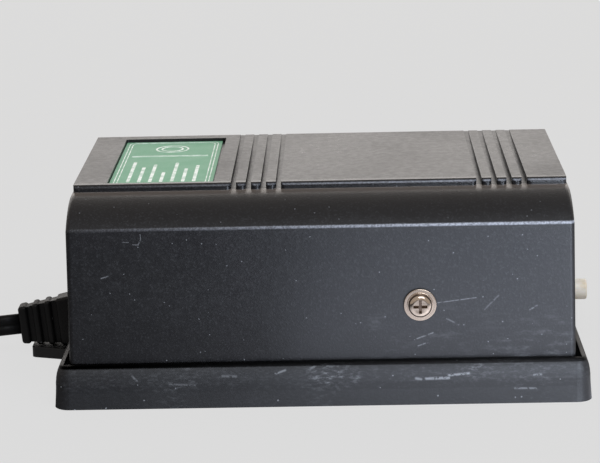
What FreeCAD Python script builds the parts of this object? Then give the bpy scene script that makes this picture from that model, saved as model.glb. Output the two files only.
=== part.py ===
"""Mains battery charger in a black plastic case on a rubber tray, as a parametric assembly.

Millimetres. +X is along the case to the end with the reset button, +Y goes to the back,
+Z is up. The origin is the middle of the tray's underside, on the surface it stands on.
"""
import FreeCAD
import Part
import Sketcher
import math
import os
from FreeCAD import Placement, Rotation, Vector

# Driving sizes: name, value, what it is
SIZES = (
    ("case_length", 153.2, "case outside, left to right, at its open bottom edge"),
    ("case_depth", 111.0, "case outside, front to back, at its open bottom edge"),
    ("case_height", 57.55, "case bottom edge to the flat top under the raised panel"),
    ("case_wall", 2.5, "case wall"),
    ("draft_angle", 0.76, "lean of the four walls, degrees"),
    ("shoulder_radius", 23.35, "long shoulder curves in front and behind"),
    ("case_edge", 1.5, "rounding of the case's outer edges"),
    ("panel_length", 150.2, "raised top panel, left to right"),
    ("panel_depth", 74.9, "raised top panel, front to back"),
    ("panel_height", 2.2, "raised top panel's step at the front"),
    ("panel_nose", 1.3, "rounding of the panel's front edge and corners"),
    ("groove_count", 4, "grooves in each group"),
    ("groove_width", 1.6, "width of a groove"),
    ("groove_pitch", 4.58, "groove to groove"),
    ("groove_shallow", 0.2, "depth that is left at the panel's back edge"),
    ("groove_left", 26.2, "first groove of the left group, left of the middle"),
    ("groove_right", 48.6, "first groove of the right group, right of the middle"),
    ("recess_width", 33.4, "label recess, left to right"),
    ("recess_length", 67.2, "label recess, front to back"),
    ("recess_x", 65.0, "recess's left edge, left of the middle"),
    ("recess_y", 34.6, "recess's front edge, in front of the middle"),
    ("label_sink", 1.0, "label's face below the panel"),
    ("label_thick", 0.4, "label plate"),
    ("label_gap", 0.25, "label plate to the recess walls"),
    ("label_margin", 1.2, "recess floor that shows to the right of the label"),
    ("tray_floor", 3.0, "rubber under the case"),
    ("tray_height", 13.3, "rim above the table"),
    ("tray_overhang", 4.3, "tray beyond the case at the table"),
    ("tray_flare", 0.4, "how much further the tray goes out at the table"),
    ("tray_band", 5.0, "height at which the tray is as wide as its overhang says"),
    ("tray_neck", 2.5, "how far the tray is drawn in at its rim"),
    ("tray_round", 2.2, "power of the curve between band and rim, 2 for a quarter ellipse"),
    ("tray_corner", 4.5, "tray's corner radius in plan"),
    ("tab_edge", 0.4, "rounding of the tab's upper edges"),
    ("tray_fit", 0.3, "tray's inner wall to the case"),
    ("rim_gap", 1.5, "open groove round the case at the rim"),
    ("rim_gap_depth", 4.0, "depth over which that groove closes"),
    ("tab_reach", 14.2, "hanging tab beyond the tray"),
    ("tab_root_width", 17.0, "tab at the tray"),
    ("tab_tip_width", 8.0, "tab at its tip"),
    ("tab_root_thick", 3.4, "tab at the tray"),
    ("tab_tip_thick", 3.6, "tab at its tip"),
    ("tab_corner", 2.0, "rounding of the tab's tip"),
    ("plate_thick", 1.5, "steel bottom plate"),
    ("plate_inset", 0.4, "plate's edge inside the case's outside"),
    ("post_radius", 4.0, "case's corner screw posts"),
    ("post_x", 66.0, "posts from the middle, sideways"),
    ("post_y", 45.0, "posts from the middle, front to back"),
    ("post_pilot", 1.5, "pilot hole radius in a post"),
    ("case_screw_radius", 1.45, "shank of a case screw"),
    ("case_screw_length", 13.0, "shank below its head"),
    ("case_screw_head", 3.5, "head radius of a case screw"),
    ("case_screw_head_thick", 2.2, "head thickness of a case screw"),
    ("hole_gap", 0.15, "screw shank to the hole it passes"),
    ("side_screw_x", 29.7, "side screw, right of the middle"),
    ("side_screw_z", 29.9, "side screw above the table"),
    ("side_screw_radius", 2.0, "side screw's thread"),
    ("side_screw_length", 22.0, "side screw below its head"),
    ("side_head_radius", 3.6, "side screw's pan head"),
    ("side_head_thick", 1.8, "side screw's pan head"),
    ("cross_length", 4.2, "cross recess, tip to tip"),
    ("cross_width", 0.9, "cross recess, arm"),
    ("cross_depth", 1.5, "cross recess"),
    ("washer_radius", 4.9, "side screw's washer"),
    ("washer_thick", 0.8, "side screw's washer at its edge"),
    ("washer_collar", 3.95, "radius of the washer's raised middle"),
    ("washer_step", 0.35, "height of the washer's raised middle"),
    ("seat_radius", 6.0, "moulded seat inside the case for the heat sink"),
    ("seat_y", 51.0, "face of that seat, in front of the middle"),
    ("sink_width", 40.0, "heat sink, left to right"),
    ("sink_height", 41.5, "heat sink's upright leg"),
    ("sink_foot", 12.0, "heat sink's foot"),
    ("sink_thick", 2.0, "heat sink's sheet"),
    ("bridge_size", 28.5, "square rectifier block"),
    ("bridge_thick", 10.5, "rectifier block"),
    ("bridge_tab_reach", 9.0, "rectifier's blade tags"),
    ("bridge_tag_off", 9.5, "tags from the rectifier's middle, each way"),
    ("blade_width", 6.3, "blade tags and plug blades"),
    ("blade_thick", 0.8, "blade tags"),
    ("nut_across", 7.0, "nut across its flats"),
    ("nut_thick", 3.2, "nut"),
    ("core_unit", 9.5, "a sixth of the core's width"),
    ("core_stack", 36.0, "core's laminations, front to back"),
    ("core_x", 22.0, "transformer, left of the middle"),
    ("bobbin_gap", 0.4, "bobbin to the core"),
    ("bobbin_wall", 1.0, "bobbin's walls and flanges"),
    ("bobbin_overhang", 9.5, "bobbin beyond the core, front and back"),
    ("winding_gap", 0.5, "windings inside the flanges' edges"),
    ("winding_corner", 6.0, "windings' outer corners"),
    ("strap_thick", 1.2, "transformer's strap"),
    ("strap_width", 30.0, "transformer's strap, front to back"),
    ("strap_foot", 12.0, "strap's feet"),
    ("strap_gap", 0.1, "strap to the core"),
    ("foot_screw_y", 9.0, "strap's screws from the middle"),
    ("foot_screw_radius", 2.0, "strap's screws"),
    ("foot_head_radius", 3.8, "strap's screws' heads"),
    ("foot_head_thick", 2.4, "strap's screws' heads"),
    ("board_x", 24.0, "board's left edge, right of the middle"),
    ("board_y", 12.0, "board's front edge, behind the middle"),
    ("board_length", 48.0, "circuit board, left to right"),
    ("board_depth", 27.0, "circuit board, front to back"),
    ("board_thick", 1.6, "circuit board"),
    ("standoff_height", 6.0, "spacers under the board"),
    ("standoff_across", 5.5, "spacers across their flats"),
    ("board_hole_edge", 3.2, "board's holes from its edges"),
    ("board_screw_radius", 1.5, "board's screws"),
    ("board_screw_length", 5.0, "board's screws below their heads"),
    ("board_head_radius", 2.75, "board's screws' heads"),
    ("board_head_thick", 2.0, "board's screws' heads"),
    ("capacitor_radius", 6.5, "smoothing capacitor"),
    ("capacitor_height", 25.0, "smoothing capacitor"),
    ("capacitor_x", 8.0, "capacitor from the board's left edge"),
    ("fuse_radius", 2.5, "glass fuse"),
    ("fuse_length", 20.0, "glass fuse"),
    ("fuse_lift", 4.4, "fuse's axis above the board"),
    ("fuse_x", 22.0, "fuse from the board's left edge"),
    ("fuse_y", 6.5, "fuse from the board's front edge"),
    ("fuse_wall", 0.2, "fuse's caps"),
    ("clip_width", 5.0, "fuse clip, along the fuse"),
    ("terminal_length", 15.0, "screw terminal block"),
    ("terminal_depth", 8.0, "screw terminal block"),
    ("terminal_height", 10.0, "screw terminal block"),
    ("terminal_x", 24.0, "terminal block from the board's left edge"),
    ("terminal_y", 16.0, "terminal block from the board's front edge"),
    ("button_z", 18.75, "reset button's axis above the table"),
    ("button_radius", 3.35, "reset button"),
    ("button_out", 85.3, "reset button's face, right of the middle"),
    ("button_travel", 3.0, "how far it presses in"),
    ("button_rest_gap", 0.05, "button's flange to its stop"),
    ("button_gap", 0.15, "button to the neck's bore"),
    ("button_flange", 5.0, "radius of the button's inner flange"),
    ("button_flange_thick", 1.5, "that flange"),
    ("button_post", 1.8, "radius of its spring post"),
    ("button_reach", 0.25, "pressed post to the disc"),
    ("neck_radius", 4.3, "breaker's threaded neck"),
    ("neck_out", 79.0, "neck's end, right of the middle"),
    ("neck_hole_gap", 0.2, "neck to the hole in the case"),
    ("ring_nut_radius", 5.1, "ring nut on the neck"),
    ("ring_nut_thick", 2.2, "ring nut"),
    ("breaker_width", 16.0, "breaker, front to back"),
    ("breaker_height", 18.0, "breaker, up and down"),
    ("breaker_front", 73.6, "breaker's shoulder, right of the middle"),
    ("breaker_back", 50.0, "joint between breaker body and its cap"),
    ("breaker_cap_thick", 6.0, "breaker's cap"),
    ("breaker_wall", 2.0, "breaker's wall at the button"),
    ("chamber_radius", 5.4, "breaker's round chamber"),
    ("disc_radius", 4.6, "bimetal disc"),
    ("disc_thick", 0.6, "bimetal disc"),
    ("spring_radius", 3.4, "button spring, middle of its wire"),
    ("spring_wire", 0.35, "button spring, wire radius"),
    ("spring_turns", 7, "button spring"),
    ("gland_x", 43.0, "outlet gland in the back wall, right of the middle"),
    ("gland_z", 22.0, "outlet gland above the table"),
    ("gland_bore", 2.6, "outlet gland's bore radius"),
    ("gland_neck", 4.5, "outlet gland's neck radius"),
    ("gland_flange", 6.5, "outlet gland's flange radius"),
    ("gland_flange_thick", 1.6, "outlet gland's flanges"),
    ("gland_gap", 0.15, "gland to the case"),
    ("relief_z", 12.3, "strain relief's axis at the case"),
    ("relief_droop", 5.3, "strain relief's lean below level, degrees"),
    ("relief_length", 22.2, "strain relief outside the case"),
    ("relief_root_height", 18.0, "strain relief at the case"),
    ("relief_nose_height", 12.2, "strain relief at its nose"),
    ("relief_root_thick", 8.4, "strain relief at the case, front to back"),
    ("relief_nose_thick", 6.4, "strain relief at its nose, front to back"),
    ("relief_rib", 2.35, "width of a rib"),
    ("relief_groove", 1.65, "width of a groove"),
    ("relief_groove_depth", 1.5, "depth of a groove in front and behind"),
    ("relief_groove_step", 0.5, "depth of a groove on top and underneath"),
    ("relief_nose_rib", 3.0, "width of the nose rib"),
    ("relief_round", 1.0, "rounding of the ribs"),
    ("relief_neck_half", 3.3, "half the neck in the case's slot"),
    ("relief_gap", 0.2, "strain relief to the case's slot"),
    ("relief_flange", 2.4, "flange inside the case"),
    ("tray_notch", 5.3, "half the tray's notch round the strain relief"),
    ("lead_width", 6.8, "flat mains lead, the wide way"),
    ("lead_thick", 3.4, "flat mains lead, the thin way"),
    ("coil_radius", 40.0, "outermost turn of the stored lead"),
    ("coil_pitch", 4.2, "turn to turn"),
    ("coil_turns", 7, "turns in all, in below and out on top"),
    ("coil_x", 160.0, "coil's middle, left of the middle"),
    ("coil_low", 4.4, "lower layer's middle above the table"),
    ("coil_step", 7.4, "layer to layer"),
    ("tie_thick", 0.6, "tie round the coil"),
    ("tie_width", 6.0, "tie round the coil"),
    ("tie_gap", 0.3, "tie to the lower turns"),
    ("tie_side_gap", 0.9, "tie to the turns, inside and outside the coil"),
    ("plug_length", 36.0, "plug body"),
    ("plug_width", 25.0, "plug body at the blades"),
    ("plug_height", 13.0, "plug body at the blades"),
    ("plug_block", 12.0, "plug body's full-width part"),
    ("plug_neck_width", 11.0, "plug body at the lead"),
    ("plug_neck_height", 9.0, "plug body at the lead"),
    ("plug_round", 2.0, "rounding of the plug"),
    ("plug_blade_length", 17.0, "plug blades"),
    ("plug_blade_thick", 1.5, "plug blades"),
    ("plug_blade_apart", 12.7, "plug blades, middle to middle"),
    ("wire_radius", 1.0, "wires inside the case"),
)

# Places worked out from the driving sizes: name, expression
PLACES = (
    ("plate_top", "tray_floor + plate_thick"),
    ("shoulder_top", "plate_top + case_height"),
    ("panel_top", "shoulder_top + panel_height"),
    ("lean", "tan(draft_angle * 1 deg)"),
    ("tray_half_x", "case_length / 2 + tray_overhang"),
    ("tray_half_y", "case_depth / 2 + tray_overhang"),
    ("tab_tip", "tray_half_x + tab_reach"),
    ("recess_floor", "panel_top - label_sink - label_thick"),
    ("screw_wall", "case_depth / 2 - lean * (side_screw_z - washer_radius - plate_top) + 0.02"),
    ("washer_face", "screw_wall + washer_thick"),
    ("screw_seat", "washer_face + washer_step"),
    ("sink_back", "seat_y - sink_thick"),
    ("bridge_back", "sink_back - bridge_thick"),
    ("core_half", "core_unit * 3"),
    ("window_bottom", "plate_top + core_unit"),
    ("window_top", "window_bottom + core_unit * 3"),
    ("core_top", "plate_top + core_unit * 5"),
    ("bobbin_inner_x", "core_unit + bobbin_gap"),
    ("bobbin_inner_y", "core_stack / 2 + bobbin_gap"),
    ("bobbin_flange_x", "core_unit * 2 - bobbin_gap"),
    ("bobbin_flange_y", "core_stack / 2 + bobbin_overhang"),
    ("bobbin_bottom", "window_bottom + bobbin_gap / 2"),
    ("bobbin_top", "window_top - bobbin_gap / 2"),
    ("bobbin_middle", "(bobbin_bottom + bobbin_top) / 2"),
    ("strap_inner", "core_half + strap_gap"),
    ("strap_outer", "strap_inner + strap_thick"),
    ("foot_screw_reach", "strap_outer + strap_foot / 2"),
    ("foot_top", "plate_top + strap_thick"),
    ("board_bottom", "plate_top + standoff_height"),
    ("board_top", "board_bottom + board_thick"),
    ("button_wall", "case_length / 2 - lean * (button_z - ring_nut_radius - plate_top) + 0.05"),
    ("chamber_front", "breaker_front - breaker_wall"),
    ("flange_front", "chamber_front - button_rest_gap"),
    ("flange_back", "flange_front - button_flange_thick"),
    ("disc_front", "breaker_back + disc_thick"),
    ("gland_wall", "case_depth / 2 - lean * (gland_z - gland_flange - plate_top) + 0.05"),
    ("gland_inner", "gland_wall - case_wall - 2 * gland_gap"),
    ("relief_wall", "case_length / 2 + 0.1"),
    ("slot_top", "relief_z + relief_root_height / 2 - 2"),
    ("relief_inside", "case_length / 2 - case_wall - relief_gap - 0.25"),
    ("nose_x", "relief_wall + relief_length * cos(relief_droop * 1 deg)"),
    ("nose_z", "relief_z - relief_length * sin(relief_droop * 1 deg)"),
    ("winding_left", "core_x + bobbin_flange_x - winding_gap"),
    ("winding_right", "bobbin_flange_x - winding_gap - core_x"),
    ("tag_y", "bridge_back - bridge_tab_reach"),
    ("coil_inner", "coil_radius - coil_pitch * coil_turns / 2"),
    ("coil_high", "coil_low + coil_step"),
    ("tie_near", "coil_inner + coil_pitch / 4 - lead_thick / 2 - tie_side_gap"),
    ("tie_far", "coil_radius - coil_pitch / 4 + lead_thick / 2 + tie_side_gap"),
    ("tie_bottom", "coil_low - lead_width / 2 - tie_gap"),
    ("tie_top", "coil_high + lead_width / 2 + tie_gap"),
    ("plug_x", "coil_x + 44"),
)

doc = FreeCAD.newDocument("battery_charger")
sheet = doc.addObject("Spreadsheet::Sheet", "Sizes")
for row, (name, value, note) in enumerate(SIZES, 1):
    sheet.set("A%d" % row, note)
    sheet.set("B%d" % row, str(value))
    sheet.setAlias("B%d" % row, name)
doc.recompute()

SIZE_NAMES = {name for name, value, note in SIZES}
PLACE_NAMES = {name for name, expression in PLACES}


def named(expression):
    """The expression with each size and place called by its object, as the document wants it."""
    words, word = [], ""
    for letter in str(expression) + " ":
        if letter.isalnum() or letter == "_":
            word += letter
            continue
        if word in SIZE_NAMES:
            word = "Sizes." + word
        elif word in PLACE_NAMES:
            word = "Places." + word
        words += [word, letter]
        word = ""
    return "".join(words).strip()


places = doc.addObject("App::VarSet", "Places")
for name, expression in PLACES:
    places.addProperty("App::PropertyFloat", name)
for name, expression in PLACES:
    places.setExpression(name, named(expression))
doc.recompute()


def size(expression):
    """The number that an expression of sizes and places comes to."""
    return float(sheet.evalExpression(named(expression)))


PIECES = []


def piece(obj, label):
    """Make the object a sub-part that is written out under its label."""
    obj.Label = label
    PIECES.append(obj)
    return obj


def move(obj, x="0", y="0", z="0"):
    """Bind the object's place to expressions."""
    for axis, expression in zip("xyz", (x, y, z)):
        if str(expression) != "0":
            obj.setExpression("Placement.Base." + axis, named(expression))
    return obj


def block(name, length, width, height, x="0", y="0", z="0"):
    """A box with its low corner at x, y, z."""
    box = doc.addObject("Part::Box", name)
    for prop, expression in (("Length", length), ("Width", width), ("Height", height)):
        box.setExpression(prop, named(expression))
    return move(box, x, y, z)


def centred(name, length, width, height, x="0", y="0", z="0"):
    """A box with the middle of its underside at x, y, z."""
    return block(name, length, width, height, "(%s) - (%s) / 2" % (x, length),
                 "(%s) - (%s) / 2" % (y, width), z)


TURN = {"X": Rotation(Vector(0, 1, 0), 90), "Y": Rotation(Vector(1, 0, 0), -90), "Z": Rotation()}


def rod(name, radius, length, x="0", y="0", z="0", along="Z"):
    """A cylinder that starts at x, y, z and runs the positive way along an axis."""
    cylinder = doc.addObject("Part::Cylinder", name)
    cylinder.Placement = Placement(Vector(), TURN[along])
    cylinder.setExpression("Radius", named(radius))
    cylinder.setExpression("Height", named(length))
    return move(cylinder, x, y, z)


def hexagon(name, across, length, x="0", y="0", z="0", along="Z"):
    """A hexagonal bar by its width across flats."""
    prism = doc.addObject("Part::Prism", name)
    prism.Polygon = 6
    prism.Placement = Placement(Vector(), TURN[along])
    prism.setExpression("Circumradius", named("(%s) / 2 / cos(30 deg)" % across))
    prism.setExpression("Height", named(length))
    return move(prism, x, y, z)


def join(name, *shapes):
    """All the shapes as one solid."""
    fused = doc.addObject("Part::MultiFuse", name)
    fused.Shapes = list(shapes)
    fused.Refine = True
    return fused


def cut(name, base, *tools):
    """The base without the tools."""
    result = doc.addObject("Part::Cut", name)
    result.Base = base
    result.Tool = tools[0] if len(tools) == 1 else join(name + "_tools", *tools)
    result.Refine = True
    return result


def common(name, first, second):
    """What two shapes share."""
    shared = doc.addObject("Part::MultiCommon", name)
    shared.Shapes = [first, second]
    return shared


def group(name, *shapes):
    """Separate solids that are one sub-part, such as a set of screws."""
    compound = doc.addObject("Part::Compound", name)
    compound.Links = list(shapes)
    return compound


def rounded(name, base, radius, wanted):
    """The base with a fillet on each edge that the test wants."""
    doc.recompute()
    fillet = doc.addObject("Part::Fillet", name)
    fillet.Base = base
    r = size(radius)
    fillet.Edges = [(i, r, r) for i, edge in enumerate(base.Shape.Edges, 1) if wanted(edge)]
    return fillet


def runs(edge, axis):
    """Whether an edge is straight and lies along an axis, 0, 1 or 2."""
    if not isinstance(edge.Curve, Part.Line):
        return False
    return abs(edge.tangentAt(edge.FirstParameter)[axis]) > 0.999


def level(edge, axis, value, within=0.01):
    """Whether both ends of an edge are at a value on an axis."""
    return all(abs(v.Point[axis] - value) < within for v in edge.Vertexes)


# Part Design helpers

def new_body(label):
    body = doc.addObject("PartDesign::Body", label + "_body")
    return piece(body, label)


def plane_of(body, role):
    return next(f for f in body.Origin.OriginFeatures if f.Role == role)


def new_sketch(body, name, role, x="0", y="0", z="0"):
    """A sketch on one of the body's own planes, moved by expressions in the plane's own axes."""
    sketch = body.newObject("Sketcher::SketchObject", name)
    sketch.AttachmentSupport = [(plane_of(body, role), "")]
    sketch.MapMode = "FlatFace"
    for axis, expression in zip("xyz", (x, y, z)):
        if str(expression) != "0":
            sketch.setExpression("AttachmentOffset.Base." + axis, named(expression))
    return sketch


def constrain(sketch, expression, *arguments):
    """Add a driving dimension bound to an expression."""
    constraint = sketch.addConstraint(Sketcher.Constraint(*arguments, size(expression)))
    sketch.setExpression("Constraints[%d]" % constraint, named(expression))


def polygon(sketch, points):
    """A closed outline of expression pairs, none of them negative."""
    count = len(points)
    first = sketch.GeometryCount
    ends = [Vector(size(x), size(y), 0) for x, y in points]
    for i in range(count):
        sketch.addGeometry(Part.LineSegment(ends[i], ends[(i + 1) % count]))
    for i in range(count):
        side = first + i
        sketch.addConstraint(Sketcher.Constraint("Coincident", side, 2, first + (i + 1) % count, 1))
    for i, (x, y) in enumerate(points):
        side = first + i
        if (x, y) == ("0", "0"):
            sketch.addConstraint(Sketcher.Constraint("Coincident", side, 1, -1, 1))
            continue
        if x == "0":
            sketch.addConstraint(Sketcher.Constraint("PointOnObject", side, 1, -2))
        else:
            constrain(sketch, x, "DistanceX", -1, 1, side, 1)
        if y == "0":
            sketch.addConstraint(Sketcher.Constraint("PointOnObject", side, 1, -1))
        else:
            constrain(sketch, y, "DistanceY", -1, 1, side, 1)


def rectangle(sketch, width, height):
    """A rectangle from the sketch's origin."""
    polygon(sketch, [("0", "0"), (width, "0"), (width, height), ("0", height)])


def soft_rectangle(sketch, width, height, radius):
    """A rectangle from the sketch's origin with round corners."""
    w, h, r = size(width), size(height), size(radius)
    corners = ((w, 0), (w, h), (0, h), (0, 0))
    for i, (x, y) in enumerate(corners):
        middle = Vector(abs(x - r), abs(y - r), 0)
        quarter = (i - 1) * math.pi / 2
        start = middle + Vector(math.cos(quarter), math.sin(quarter), 0) * r
        before = corners[i - 1]
        last = Vector(abs(before[0] - r), abs(before[1] - r), 0)
        sketch.addGeometry(Part.LineSegment(last + (start - middle), start))
        circle = Part.Circle(middle, Vector(0, 0, 1), r)
        sketch.addGeometry(Part.ArcOfCircle(circle, quarter, quarter + math.pi / 2))
    for i in range(4):
        line, arc = 2 * i, 2 * i + 1
        sketch.addConstraint(Sketcher.Constraint("Vertical" if i % 2 else "Horizontal", line))
        sketch.addConstraint(Sketcher.Constraint("Tangent", line, 2, arc, 1))
        sketch.addConstraint(Sketcher.Constraint("Tangent", arc, 2, (line + 2) % 8, 1))
        if i:
            sketch.addConstraint(Sketcher.Constraint("Equal", 1, arc))
    constrain(sketch, radius, "Radius", 1)
    sketch.addConstraint(Sketcher.Constraint("PointOnObject", 0, 1, -1))
    sketch.addConstraint(Sketcher.Constraint("PointOnObject", 6, 1, -2))
    constrain(sketch, width, "DistanceX", -1, 1, 2, 1)
    constrain(sketch, height, "DistanceY", -1, 1, 4, 1)


def ring(sketch, radius, x="0", y="0"):
    """A circle with its middle at x, y of the sketch, none of them negative."""
    middle = Vector(size(x), size(y), 0)
    index = sketch.addGeometry(Part.Circle(middle, Vector(0, 0, 1), size(radius)))
    if (x, y) == ("0", "0"):
        sketch.addConstraint(Sketcher.Constraint("Coincident", index, 3, -1, 1))
    elif x == "0":
        sketch.addConstraint(Sketcher.Constraint("PointOnObject", index, 3, -2))
        constrain(sketch, y, "DistanceY", -1, 1, index, 3)
    elif y == "0":
        sketch.addConstraint(Sketcher.Constraint("PointOnObject", index, 3, -1))
        constrain(sketch, x, "DistanceX", -1, 1, index, 3)
    else:
        constrain(sketch, x, "DistanceX", -1, 1, index, 3)
        constrain(sketch, y, "DistanceY", -1, 1, index, 3)
    constrain(sketch, radius, "Radius", index)


def four(sketch, radius, across, deep):
    """Four circles on the corners of a rectangle that starts at the sketch's origin."""
    for x in ("0", across):
        for y in ("0", deep):
            ring(sketch, radius, x, y)


def pad(body, sketch, length, lean="0", back=False):
    """Pull the sketch up, leaning inwards by an angle in degrees."""
    feature = body.newObject("PartDesign::Pad", sketch.Name + "_pad")
    feature.Profile = sketch
    feature.setExpression("Length", named(length))
    feature.Reversed = back
    if lean != "0":
        feature.setExpression("TaperAngle", named("-(%s)" % lean))
    return feature


def pocket(body, sketch, depth, lean="0", back=False):
    """Cut the sketch into the body, and make sure that it took something away."""
    doc.recompute()
    before = body.Shape.Volume
    feature = body.newObject("PartDesign::Pocket", sketch.Name + "_pocket")
    feature.Profile = sketch
    feature.setExpression("Length", named(depth))
    feature.Reversed = back
    if lean != "0":
        feature.setExpression("TaperAngle", named("-(%s)" % lean))
    doc.recompute()
    if body.Shape.Volume >= before:
        raise SystemExit("pocket %s cuts nothing" % sketch.Name)
    return feature


def spin(body, sketch, axis):
    """Turn the sketch round its own H_Axis or V_Axis."""
    feature = body.newObject("PartDesign::Revolution", sketch.Name + "_turned")
    feature.Profile = sketch
    feature.ReferenceAxis = (sketch, [axis])
    feature.Angle = 360
    return feature


def slab(label, length, width, height, x, y, z, corner="0"):
    """A body that starts as a flat block with its low corner at x, y, z."""
    body = new_body(label)
    plan = new_sketch(body, label + "_plan", "XY_Plane", x, y, z)
    rectangle(plan, length, width)
    pad(body, plan, height)
    if corner != "0":
        round_edges(body, label + "_corners", corner, lambda e: runs(e, 2))
    return body


def round_edges(body, name, radius, wanted):
    """Fillet the edges of the body's last feature that the test wants."""
    doc.recompute()
    tip = body.Tip
    feature = body.newObject("PartDesign::Fillet", name)
    chosen = ["Edge%d" % i for i, edge in enumerate(tip.Shape.Edges, 1) if wanted(edge)]
    if not chosen:
        raise SystemExit("fillet %s has no edge" % name)
    feature.Base = (tip, chosen)
    feature.setExpression("Radius", named(radius))
    doc.recompute()
    return feature


# Case: drafted block under the shoulder curves, hollowed the same way, with its raised panel

def drafted_block(name, inset, top):
    """A block whose four sides lean in, inset from the case's outside."""
    wedge = doc.addObject("Part::Wedge", name)
    wedge.Placement = Placement(Vector(), Rotation(Vector(1, 0, 0), 90))
    rise = "(%s - plate_top)" % top
    for end, lean in (("", "0"), ("2", "lean * " + rise)):
        for axis, whole in (("X", "case_length"), ("Z", "case_depth")):
            half = "(%s / 2 - %s - %s)" % (whole, inset, lean)
            wedge.setExpression("%s%smin" % (axis, end), named("-" + half))
            wedge.setExpression("%s%smax" % (axis, end), named(half))
    wedge.Ymin = 0
    wedge.setExpression("Ymax", named(rise))
    return move(wedge, z="plate_top")


def shoulder_block(name, inset):
    """Everything under the flat top and the two long shoulder curves."""
    radius = "(shoulder_radius - %s)" % inset
    length = "(case_length + 4)"
    middle = "(shoulder_top - shoulder_radius)"
    under = block(name + "_under", length, "panel_depth + 2 * " + radius,
                  middle + " - plate_top + 1", "-%s / 2" % length,
                  "-panel_depth / 2 - " + radius, "plate_top - 1")
    flat = block(name + "_flat", length, "panel_depth", "shoulder_top - %s - plate_top" % inset,
                 "-%s / 2" % length, "-panel_depth / 2", "plate_top")
    curves = [rod(name + side, radius, length, "-%s / 2" % length, "%spanel_depth / 2" % sign,
                  middle, "X") for side, sign in (("_front", "-"), ("_back", ""))]
    return join(name, under, flat, *curves)


def case_skin(name, inset):
    """The case's outside, or its inside for an inset of one wall."""
    lifted = "(shoulder_top - %s + 0.001)" % inset
    return common(name, drafted_block(name + "_walls", inset, lifted),
                  shoulder_block(name + "_top", inset))


def panel_segments():
    """The raised panel as rounded bars between its grooves, joined at the back."""
    edges = ["-panel_length / 2"]
    for start in ("-groove_left", "groove_right"):
        for i in range(int(size("groove_count"))):
            middle = "%s + %d * groove_pitch" % (start, i)
            edges += ["%s - groove_width / 2" % middle, "%s + groove_width / 2" % middle]
    edges.append("panel_length / 2")
    front = -size("panel_depth") / 2
    top = size("panel_top")
    bars = []
    for i in range(0, len(edges), 2):
        left, right = edges[i], edges[i + 1]
        bar = block("panel_bar_%d" % (i // 2), "(%s) - (%s)" % (right, left), "panel_depth",
                    "panel_height + 1", left, "-panel_depth / 2", "shoulder_top - 1")
        bars.append(rounded("panel_bar_%d_soft" % (i // 2), bar, "panel_nose",
                            lambda e: level(e, 1, front) and (runs(e, 2) or level(e, 2, top))))
    return bars


def groove_floors():
    """What fills each group of grooves towards the back, where they run out: under a long arc."""
    radius = "(panel_depth ^ 2 / 2 / (panel_height - groove_shallow))"
    front = "(panel_depth / 2 - panel_nose - groove_width)"
    floors = []
    for name, start in (("left", "-groove_left"), ("right", "groove_right")):
        low = "%s - groove_width" % start
        whole = block("groove_fill_" + name, "(groove_count - 1) * groove_pitch + 2 * groove_width",
                      "panel_depth / 2 + %s" % front, "panel_height + 1", low, "-" + front,
                      "shoulder_top - 1")
        arc = rod("groove_arc_" + name, radius, "panel_length", low + " - panel_length / 4",
                  "-panel_depth / 2", "shoulder_top + 0.02 + " + radius, "X")
        floors.append(cut("groove_floor_" + name, whole, arc))
    return floors


def build_case():
    outside = case_skin("case_outside", "0")
    doc.recompute()
    bottom = size("plate_top")
    soft = rounded("case_soft", outside, "case_edge", lambda e: not level(e, 2, bottom)
                   and (runs(e, 0) and e.BoundBox.ZMax < size("shoulder_top") - 2
                        or abs(e.tangentAt(e.FirstParameter)[2]) > 0.9
                        or not runs(e, 0) and e.BoundBox.XLength < 0.01
                        and e.BoundBox.ZMax > size("shoulder_top") - 9))
    hollow = case_skin("case_inside", "case_wall")
    shell = cut("case_shell", soft, hollow)
    posts = join("case_posts", *[
        rod("post_%d" % i, "post_radius", "shoulder_top - plate_top - case_wall - 0.9",
            sx + "post_x", sy + "post_y", "plate_top")
        for i, (sx, sy) in enumerate((("-", "-"), ("", "-"), ("-", ""), ("", "")))])
    seat = rod("heat_sink_seat", "seat_radius", "case_depth / 2 - seat_y", "side_screw_x",
               "-case_depth / 2", "side_screw_z", "Y")
    inner_parts = common("case_inner_parts", outside, join("posts_and_seat", posts, seat))
    solid = join("case_whole", shell, inner_parts, *groove_floors(), *panel_segments())
    recess = block("label_recess", "recess_width", "recess_length", "panel_height",
                   "-recess_x", "-recess_y", "recess_floor")
    recess_soft = rounded("label_recess_soft", recess, "label_gap * 3", lambda e: runs(e, 2))
    pilots = [rod("pilot_%d" % i, "post_pilot", "case_screw_length + 2", sx + "post_x",
                  sy + "post_y", "plate_top - 1")
              for i, (sx, sy) in enumerate((("-", "-"), ("", "-"), ("-", ""), ("", "")))]
    screw_hole = rod("side_screw_hole", "side_screw_radius + hole_gap", "10", "side_screw_x",
                     "-case_depth / 2 - 1", "side_screw_z", "Y")
    neck_hole = rod("neck_hole", "neck_radius + neck_hole_gap", "case_wall + 3",
                    "case_length / 2 - case_wall - 1.5", "0", "button_z", "X")
    gland_hole = rod("gland_hole", "gland_neck + gland_gap", "case_wall + 4", "gland_x",
                     "case_depth / 2 - case_wall - 2", "gland_z", "Y")
    slot = centred("lead_slot", "case_wall + 4", "2 * (relief_neck_half + relief_gap)",
                   "slot_top + relief_gap - plate_top + 1", "-case_length / 2 + case_wall / 2",
                   "0", "plate_top - 1")
    case = cut("case", solid, recess_soft, screw_hole, neck_hole, gland_hole, slot, *pilots)
    return piece(case, "case_cover")


# Rubber tray

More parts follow.
